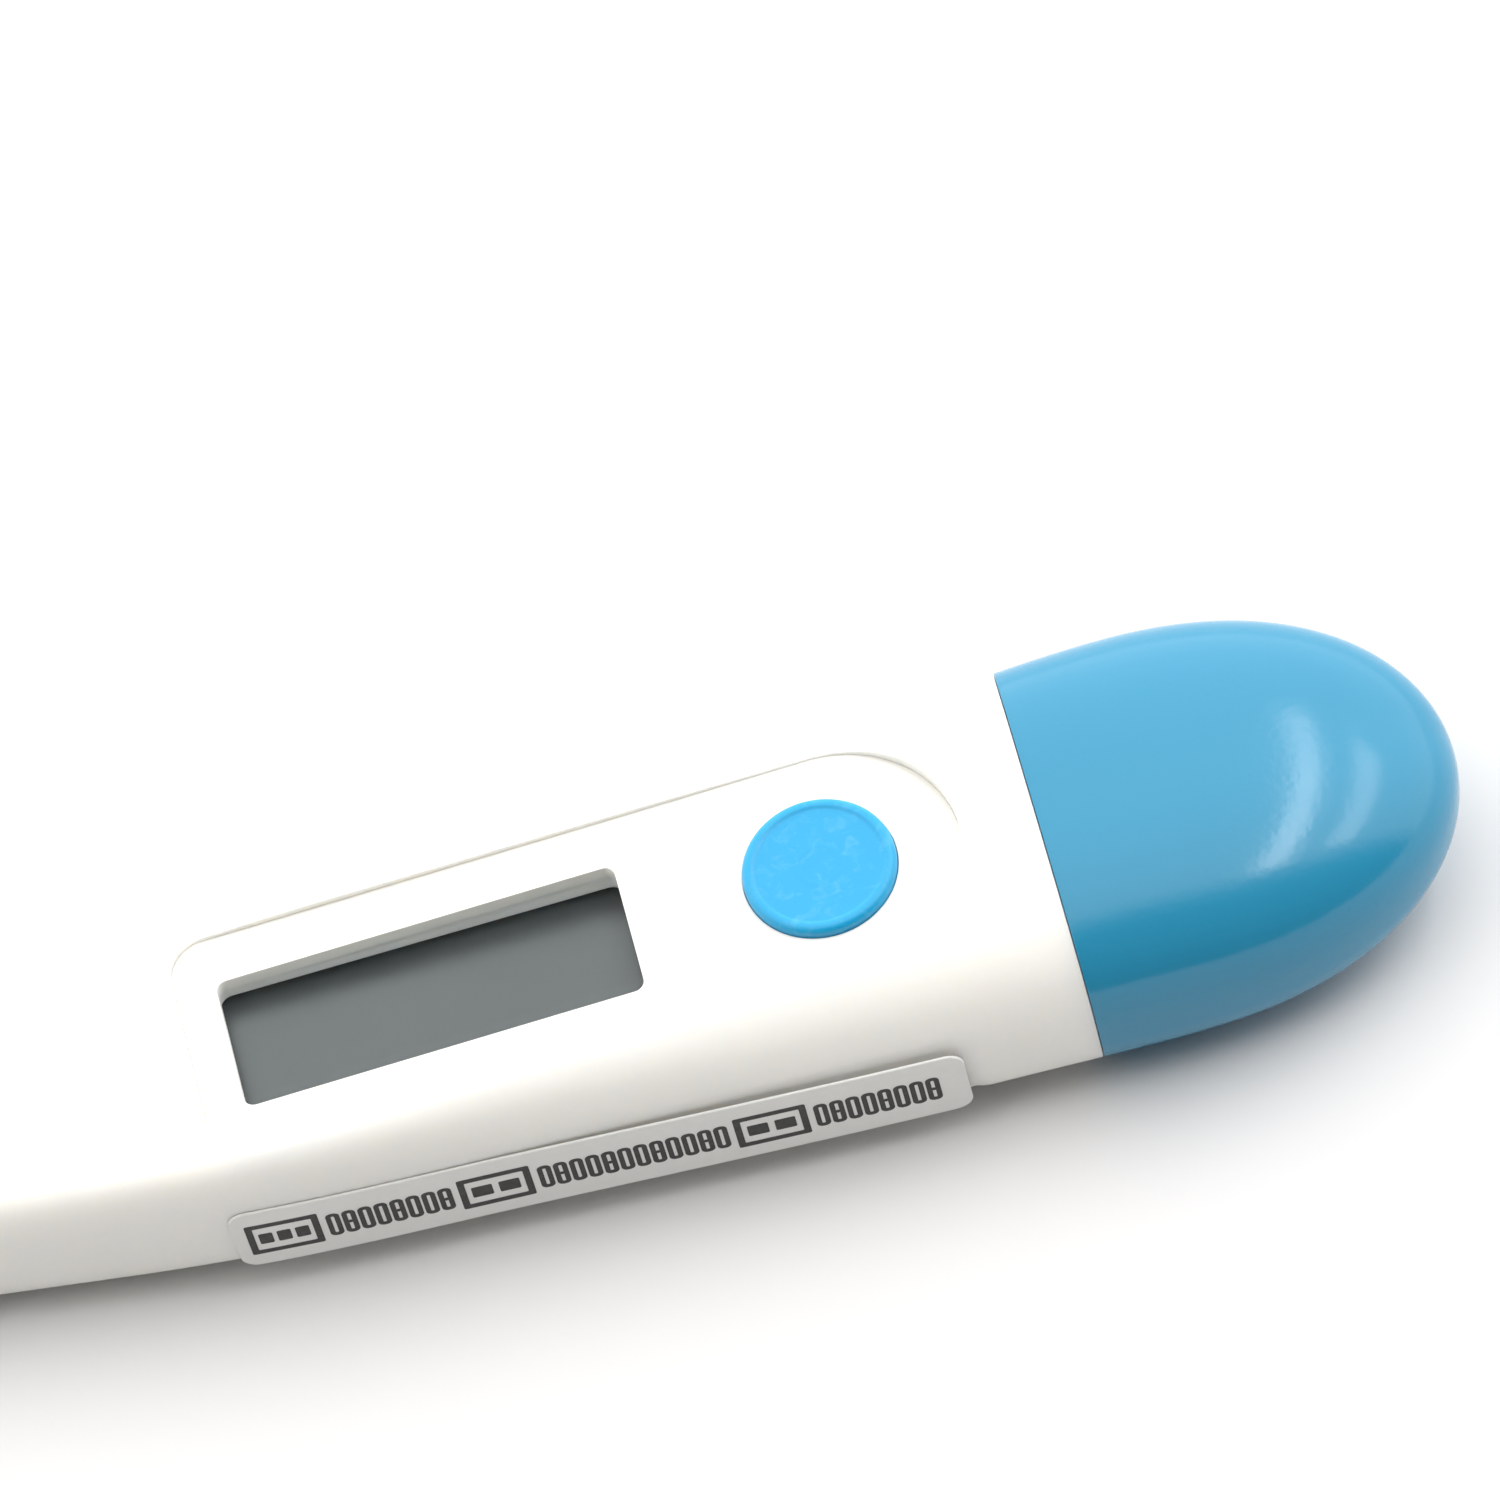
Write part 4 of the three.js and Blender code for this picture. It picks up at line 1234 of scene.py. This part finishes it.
# plain sorts of surface: "patch" is the size and detail of the patches of tint, and "relief" the
# size and depth of the fine relief; metals keep the shader's own IOR
surfaces = {
    # bright mirror-like tip with fine drawn streaks that break up the reflection
    "probe": {
        "name": "stainless steel, drawn and polished",
        "hexes": ("#CFD1D2", "#BFC2C4"),
        "patch": (0.15, 3),
        "roughness": (0.12, 0.26),
        "relief": (0.2, 0.0008),
        "set": {"Metallic": 1},
    },
    # cold grey metal, a little duller than the tip
    "spring": {
        "name": "stainless spring steel, rolled",
        "hexes": ("#C8CACB", "#B4B7B9"),
        "patch": (0.3, 2),
        "roughness": (0.2, 0.35),
        "relief": (0.2, 0.001),
        "set": {"Metallic": 1},
    },
    # warm silver strip with a satin roll finish
    "nickel": {
        "name": "nickel plated brass strip, stamped",
        "hexes": ("#CBC7BC", "#B9B4A7"),
        "patch": (0.4, 2),
        "roughness": (0.2, 0.34),
        "relief": (0.25, 0.001),
        "set": {"Metallic": 1},
    },
    # yellow metal disc, clearly not steel
    "brass": {
        "name": "brass disc, rolled",
        "hexes": ("#D8B35E", "#C39B48"),
        "patch": (0.6, 2),
        "roughness": (0.25, 0.4),
        "relief": (0.3, 0.001),
        "set": {"Metallic": 1},
    },
    # pale silvery sheet, even and dull, that lights the display from behind
    "foil": {
        "name": "reflector film, satin aluminium",
        "hexes": ("#C2C6C2", "#B4B9B4"),
        "patch": (0.5, 2),
        "roughness": (0.35, 0.45),
        "relief": (0.2, 0.0008),
        "set": {"Metallic": 1},
    },
    # thin red-brown wires with a varnished shine
    "enamel": {
        "name": "enamelled copper wire",
        "hexes": ("#B4612F", "#9C4E22"),
        "patch": (0.5, 2),
        "roughness": (0.25, 0.4),
        "relief": (0.2, 0.0005),
        "set": {"Metallic": 0.7},
    },
    # small black blobs with a wet gloss
    "epoxy": {
        "name": "black epoxy, potted",
        "hexes": ("#17171A", "#1E1E22"),
        "patch": (0.6, 3),
        "roughness": (0.25, 0.4),
        "relief": (0.5, 0.004),
        "set": {"IOR": 1.55},
    },
    # dry cream body with no shine
    "ceramic": {
        "name": "fired ceramic, unglazed",
        "hexes": ("#D9D0BC", "#C9BEA6"),
        "patch": (0.3, 4),
        "roughness": (0.55, 0.7),
        "relief": (0.1, 0.002),
        "set": {"IOR": 1.6},
    },
    # green board with a slight sheen and the weave showing faintly
    "board": {
        "name": "green fibre board, solder masked",
        "hexes": ("#1F6B3A", "#2A7A45"),
        "patch": (0.35, 4),
        "roughness": (0.35, 0.5),
        "relief": (0.3, 0.004),
        "set": {"IOR": 1.5},
    },
    # dark green rubber, matt, seen only as a thin line at the seam
    "seal": {
        "name": "green silicone rubber, moulded",
        "hexes": ("#2F6A62", "#285E57"),
        "patch": (0.5, 3),
        "roughness": (0.45, 0.6),
        "relief": (0.15, 0.002),
        "set": {"IOR": 1.41},
    },
    # near black rubber strip with no shine
    "carbonRubber": {
        "name": "carbon filled silicone, banded",
        "hexes": ("#24262A", "#3A3C40"),
        "patch": (0.25, 1),
        "roughness": (0.6, 0.75),
        "relief": (0.15, 0.004),
        "set": {"IOR": 1.43},
    },
    # light grey, sparkling matt frame that hides behind the panel
    "greyFrame": {
        "name": "light grey ABS, spark eroded matt",
        "hexes": ("#C9C9C4", "#BFBFBA"),
        "patch": (1, 3),
        "roughness": (0.5, 0.6),
        "relief": (0.12, 0.003),
        "set": {"IOR": 1.53},
    },
    # smooth grey glass with a sharp faint reflection
    "displayGlass": {
        "name": "display glass, coated grey",
        "hexes": ("#6E767A", "#767E82"),
        "patch": (3, 2),
        "roughness": (0.06, 0.12),
        "relief": (1, 0.0005),
        "set": {"IOR": 1.52},
    },
    # dark slate blue film, what makes the switched-off display look dark
    "polariser": {
        "name": "polariser film, anti-glare coated",
        "hexes": ("#272E34", "#2A3137"),
        "patch": (4, 2),
        "roughness": (0.45, 0.5),
        "relief": (0.15, 0.0004),
        "set": {"IOR": 1.5, "Specular IOR Level": 0.45},
    },
    # slightly cooler white than the case, so the label stands out from it
    "paper": {
        "name": "white paper label, satin coated",
        "hexes": ("#EBEBE9", "#E5E5E3"),
        "patch": (0.6, 4),
        "roughness": (0.42, 0.52),
        "relief": (0.12, 0.0015),
        "set": {"IOR": 1.5},
    },
    # charcoal marks, a little uneven in tone as printed ink is
    "ink": {
        "name": "black transfer ink, satin",
        "hexes": ("#1E1D1C", "#2B2A28"),
        "patch": (0.2, 4),
        "roughness": (0.45, 0.6),
        "relief": (0.08, 0.002),
        "set": {"IOR": 1.5},
    },
}


def surfaceMaterial(look):
    material, tree, shader, place = newMaterial(look["name"])
    setShader(shader, look["set"])
    size, detail = look["patch"]
    tree.links.new(colourPatches(tree, place, look["hexes"], size, detail), shader.inputs["Base Color"])
    glossSize = size * 1.7
    tree.links.new(valuePatches(tree, place, look["roughness"], glossSize), shader.inputs["Roughness"])
    addRelief(tree, place, shader, *look["relief"], 3)
    return material


# the can of the cell: concentric turning marks in satin nickel plate, which spin the light into
# a soft fan
cellFinish = {
    "name": "nickel plated cell can, turned satin",
    "hex": "#C6C7C6",
    "pitch": 0.9,  # from mark to mark, coarser than real turning marks so that it shows
    "waver": {"Distortion": 0.6, "Detail": 3},
    "roughness": (0.2, 0.36),
    "relief": (0.4, 0.002),  # strength and depth
}


def cellMaterial(look):
    material, tree, shader, place = newMaterial(look["name"])
    setShader(shader, {"Metallic": 1, "Base Color": hexToLinear(look["hex"])})
    x = (cellLow[0] + cellHigh[0]) / 2 * mm
    centred = addNode(tree, "VectorMath", {"operation": "SUBTRACT", 1: (x, 0, 0)}, {0: place})
    wave = {"wave_type": "RINGS", "rings_direction": "Z", "Scale": 1 / (look["pitch"] * mm)}
    wave.update(look["waver"])
    rings = addNode(tree, "TexWave", wave, {"Vector": centred.outputs["Vector"]})
    limits = {"To Min": look["roughness"][0], "To Max": look["roughness"][1]}
    rough = addNode(tree, "MapRange", limits, {"Value": rings.outputs["Fac"]})
    tree.links.new(rough.outputs["Result"], shader.inputs["Roughness"])
    strength, depth = look["relief"]
    relief = {"Strength": strength, "Distance": depth * mm}
    bump = addNode(tree, "Bump", relief, {"Height": rings.outputs["Fac"]})
    tree.links.new(bump.outputs["Normal"], shader.inputs["Normal"])
    return material


# clear acrylic with an anti-glare coat: light passes straight through, and what it mirrors is
# a soft grey veil
windowFinish = {
    "name": "clear acrylic window, anti-glare coated",
    "clear": "#F8F9F9",
    "gloss": "#EAF2F4",
    "roughness": (0.33, 0.38),
    "patch": (6, 1),
    "ior": 1.6,
}


def windowMaterial(look):
    material, tree, shader, place = newMaterial(look["name"])
    tree.nodes.remove(shader)
    clear = addNode(tree, "BsdfTransparent", {"Color": hexToLinear(look["clear"])})
    rough = valuePatches(tree, place, look["roughness"], *look["patch"])
    tint = {"Color": hexToLinear(look["gloss"])}
    gloss = addNode(tree, "BsdfGlossy", tint, {"Roughness": rough})
    mirrored = addNode(tree, "Fresnel", {"IOR": look["ior"]})
    links = {0: mirrored.outputs["Fac"], 1: clear.outputs["BSDF"], 2: gloss.outputs["BSDF"]}
    mixed = addNode(tree, "MixShader", {}, links)
    tree.links.new(mixed.outputs["Shader"], tree.nodes["Material Output"].inputs["Surface"])
    return material


finishes = {key: plasticMaterial(look) for key, look in plastics.items()}
finishes.update({key: surfaceMaterial(look) for key, look in surfaces.items()})
finishes["cell"] = cellMaterial(cellFinish)
finishes["window"] = windowMaterial(windowFinish)
print("materials made")

pieces = [
    # piece, finish, body, CAD node it replaces
    (mainCase, "case", "case", "main_case"),
    (facePanel, "panel", "case", "face_panel"),
    (powerButton, "button", "button", "power_button"),
    (batteryCap, "cap", "cap", "battery_cap"),
    (capSealRing, "seal", "case", "cap_seal_ring"),
    (sideLabel, "paper", "case", "side_label"),
    (probeTip, "probe", "case", "probe_tip"),
    (batteryCell, "cell", "case", "battery_cell"),
    (batteryTray, "tray", "case", "battery_tray"),
    (positiveContact, "nickel", "case", "positive_contact"),
]
for piece, finish, body, node in pieces:
    piece.data.materials.clear()
    piece.data.materials.append(finishes[finish])
    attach(piece, body)
    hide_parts(node)

labelPrint.data.materials.append(finishes["ink"])
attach(labelPrint, "case")

# CAD nodes that are shown as they are, under the finish they get
keptParts = {
    "seal": ["button_gasket"],
    "spring": ["snap_dome"],
    "enamel": ["thermistor_lead_1", "thermistor_lead_2"],
    "window": ["display_window"],
    "polariser": ["lcd_front_polariser"],
    "displayGlass": ["lcd_glass"],
    "foil": ["lcd_reflector"],
    "greyFrame": ["lcd_frame"],
    "carbonRubber": ["zebra_connector"],
    "board": ["circuit_board"],
    "brass": ["buzzer_plate"],
    "ceramic": ["chip_capacitor_1", "chip_capacitor_2", "buzzer_ceramic"],
    "nickel": ["buzzer_contact_1", "buzzer_contact_2", "negative_contact"],
    "epoxy": ["thermistor_bead", "tip_adhesive", "chip_encapsulant"],
}
keptParts["epoxy"] += [f"chip_resistor_{k}" for k in (1, 2, 3)]
for finish, kept in keptParts.items():
    for node in kept:
        for slot in nodes[node].material_slots:
            slot.material = finishes[finish]
print("finishes given")
